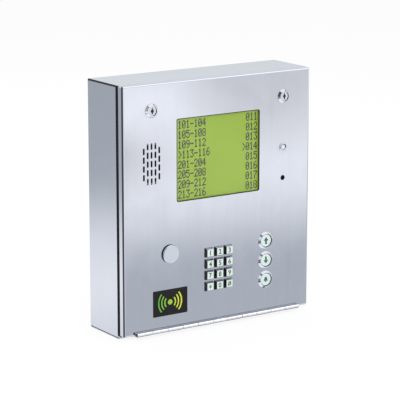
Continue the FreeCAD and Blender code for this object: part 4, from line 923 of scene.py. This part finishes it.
keypadRear = {"y": -0.0864, "solderX": 0.0032, "solderY": 0.0003, "solder": (0.0019, 0.0014, 0.0019),
              "headerZ": -0.0625, "headerWays": 8}
joints = eitherSide(map(flatPlace, keyNames), keypadRear["solderX"])
repeatPiece("keypad_solder", [(x, keypadRear["y"] + keypadRear["solderY"], z) for x, z in joints],
            keypadRear["solder"], "door", tin, "dome")
repeatPiece("keypad_header", [(step, keypadRear["y"] + socket["y"], keypadRear["headerZ"])
                              for step in centred(keypadRear["headerWays"], socket["pitch"])],
            socket["block"], "door", pale)

backPlate = [(0, -0.0012), (0.015, -0.0012), (0.0158, -0.0004), (0.0152, 0.0012), (0.0062, 0.0012),
             (0.0055, 0.0022), (0, 0.0022)]      # radius and y from the back of the magnet
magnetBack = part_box("speaker_magnet")[1].y
backProfile = [(radius, magnetBack + y) for radius, y in backPlate]
newPiece("speaker_back_plate", turnedMesh(backProfile, [flatPlace("speaker_magnet")], steps=48), "door",
         zincPlate)
switchTag = {"x": 0.006, "y": -0.0746, "size": (0.0009, 0.007, 0.0049)}
repeatPiece("switch_tags", [(x, switchTag["y"], z)
                            for x, z in eitherSide(map(flatPlace, symbols), switchTag["x"])],
            switchTag["size"], "door", tin)
print("door's boards done")


# studio

floor = {"below": 0.0002, "side": 18, "glow": 1.03, "glowShare": 0.86}
floorLevel = cadBox[0][2] - floor["below"]
floorMesh = bpy.data.meshes.new("studio_floor")
floorMesh.from_pydata([(x, y, floorLevel) for x, y in rectangle(0, 0, floor["side"], floor["side"])],
                      [], [(0, 1, 2, 3)])
floorPiece = newObject("studio_floor", floorMesh)
floorPaper = bpy.data.materials.new("White paper sweep")
paperTree = emptyTree(floorPaper)


def seenDirectly(tree):  # 1 for the camera's own rays, also through a clear pane
    rays = addNode(tree, "ShaderNodeLightPath")
    return maths(tree, "MAXIMUM", rays.outputs["Is Camera Ray"], rays.outputs["Is Transmission Ray"])


share = maths(paperTree, "MULTIPLY", seenDirectly(paperTree), floor["glowShare"])
paper = addNode(paperTree, "ShaderNodeBsdfDiffuse", {"Color": linear("#fafafa")})
white = addNode(paperTree, "ShaderNodeEmission", {"Color": linear("#ffffff"), "Strength": floor["glow"]})
mixed = addNode(paperTree, "ShaderNodeMixShader", {0: share, 1: paper.outputs[0], 2: white.outputs[0]})
addNode(paperTree, "ShaderNodeOutputMaterial", {0: mixed.outputs[0]})
floorMesh.materials.append(floorPaper)
floorPiece.visible_glossy = False    # metal sees the same white, and the studio's tones, from the world

studio = {
    # levels against the direction's height, below to above: in front of the cabinet and behind it
    "frontTones": [(-1.0, 1.15), (-0.6, 1.1), (-0.38, 0.74), (-0.27, 0.69), (-0.25, 0.63), (-0.241, 0.82),
                   (-0.232, 1.14), (-0.222, 1.37), (-0.19, 1.34), (-0.165, 1.3), (-0.1, 1.15), (0.1, 1.0),
                   (0.5, 1.05), (0.75, 1.12), (1.0, 1.1)],
    "backTones": [(-1.0, 1.15), (-0.45, 1.1), (-0.285, 1.05), (-0.262, 1.28), (-0.232, 1.08), (-0.208, 0.62),
                  (-0.14, 0.58), (-0.04, 0.66), (0.12, 0.74), (0.17, 0.96), (0.5, 1.0), (1.0, 1.1)],
    "patches": [                        # places of another level: azimuth, elevation, full, none, level
        (149.3, -11.3, 0.5, 1.1, 0.35), (147.6, -11.1, 0.2, 1.0, 0.78),
        (144.5, -8.4, 1.3, 2.9, 0.7), (147.8, -9.7, 0.6, 2.2, 1.12),
        (-125, -25, 6, 11, 0.08), (-124, -9, 6, 11, 0.05), (-123, 6, 6, 11, 0.05),
        (-125, 21, 5, 10, 0.06), (-130, 33, 6, 11, 0.06), (-141, 48, 8, 15, 0.08),
        (90, 38, 5, 9, 0.2), (77, 21, 6, 11, 0.12), (66, 5, 7, 13, 0.1),
        (58, -13, 5, 10.5, 0.1), (57, -28, 6, 11, 0.15), (52, -43, 9, 18, 0.3),
        (137, 33, 10, 20, 1.75)],
    "tilt": 0.15, "pivot": 0.5135,      # the strip lights in front hang out of level
    "turn": 0.25,                       # front runs into back within this much of the side
    "softLight": 0.62,
    "blue": 0.05, "blueBelow": 1.2, "blueOver": 0.5,    # the most blue, the level under which it starts
}


def airTone(level):  # dimmer parts of a white studio are a little bluer
    blue = studio["blue"] * min(1.0, max(0.0, (studio["blueBelow"] - level) / studio["blueOver"]))
    return (level * (1 - blue), level, level * (1 + blue), 1.0)


world = bpy.data.worlds.new("White studio")
scene.world = world
air = emptyTree(world)
direction = addNode(air, "ShaderNodeTexCoord").outputs["Generated"]


def aimed(azimuth, elevation):  # degrees: clockwise from the wall, and up
    az, el = math.radians(azimuth), math.radians(elevation)
    return Vector((math.sin(az) * math.cos(el), math.cos(az) * math.cos(el), math.sin(el)))


def along(way):  # how nearly a ray goes this way
    product = addNode(air, "ShaderNodeVectorMath", {0: direction, 1: way}, operation="DOT_PRODUCT")
    return product.outputs["Value"]


def toneRamp(tones, height):
    return addNode(air, "ShaderNodeValToRGB", {0: spread(air, height, -1.0, 1.0)},
                   stops=[((z + 1) / 2, airTone(level)) for z, level in tones]).outputs[0]


levelled = maths(air, "ADD", along((-studio["tilt"], 0, 1)), studio["tilt"] * studio["pivot"])
facing = spread(air, axisOf(air, direction, 1), -studio["turn"], studio["turn"],
                interpolation_type="SMOOTHSTEP")
around = mixTones(air, facing, toneRamp(studio["frontTones"], levelled),
                  toneRamp(studio["backTones"], axisOf(air, direction, 2)))
dimmed = 1.0
for azimuth, elevation, full, none, level in studio["patches"]:
    patch = spread(air, along(aimed(azimuth, elevation)), math.cos(math.radians(none)),
                   math.cos(math.radians(full)), 1.0, level, interpolation_type="SMOOTHSTEP")
    dimmed = maths(air, "MULTIPLY", patch, dimmed)
mirrored = addNode(air, "ShaderNodeBackground", {"Color": around, "Strength": dimmed})
soft, plain = [addNode(air, "ShaderNodeBackground", {"Color": linear("#ffffff"), "Strength": strength})
               for strength in (studio["softLight"], 1.0)]
glossy = addNode(air, "ShaderNodeLightPath").outputs["Is Glossy Ray"]
lit = addNode(air, "ShaderNodeMixShader", {0: glossy, 1: soft.outputs[0], 2: mirrored.outputs[0]})
chosen = addNode(air, "ShaderNodeMixShader", {0: seenDirectly(air), 1: lit.outputs[0], 2: plain.outputs[0]})
addNode(air, "ShaderNodeOutputWorld", {0: chosen.outputs[0]})

lamps = {
    "key": {"place": (-1.3, -1.7, 1.7), "side": 1.3, "power": 20},
    "fill": {"place": (1.9, -1.5, 0.9), "side": 1.5, "power": 12},
    "rim": {"place": (0.4, 1.8, 1.5), "side": 1.2, "power": 10},
}
for name, lamp in lamps.items():
    data = bpy.data.lights.new(name, "AREA")
    data.size = lamp["side"]
    data.energy = lamp["power"]
    light = newObject(name, data)
    light.location = lamp["place"]
    light.rotation_mode = "QUATERNION"
    light.rotation_quaternion = Vector(lamp["place"]).to_track_quat("Z", "Y")
    light.visible_glossy = False    # the world's tones stand for what metal sees

lens = {
    "place": (-1.6301, -2.4889, 0.6467),
    "azimuth": 33.7235, "elevation": -12.5328,
    "sensor": 36,                      # mm
    "focal": 1938.3 / 400 * 36,        # pixels of the 400 wide frame, on that sensor
    "clip": (0.1, 50),
}
camera = newObject("camera", bpy.data.cameras.new("camera"))
camera.data.sensor_width = lens["sensor"]
camera.data.lens = lens["focal"]
camera.data.clip_start, camera.data.clip_end = lens["clip"]
camera.location = lens["place"]
camera.rotation_mode = "QUATERNION"
camera.rotation_quaternion = aimed(lens["azimuth"], lens["elevation"]).to_track_quat("-Z", "Y")
scene.camera = camera
scene.view_settings.view_transform = "Standard"
print("studio done")
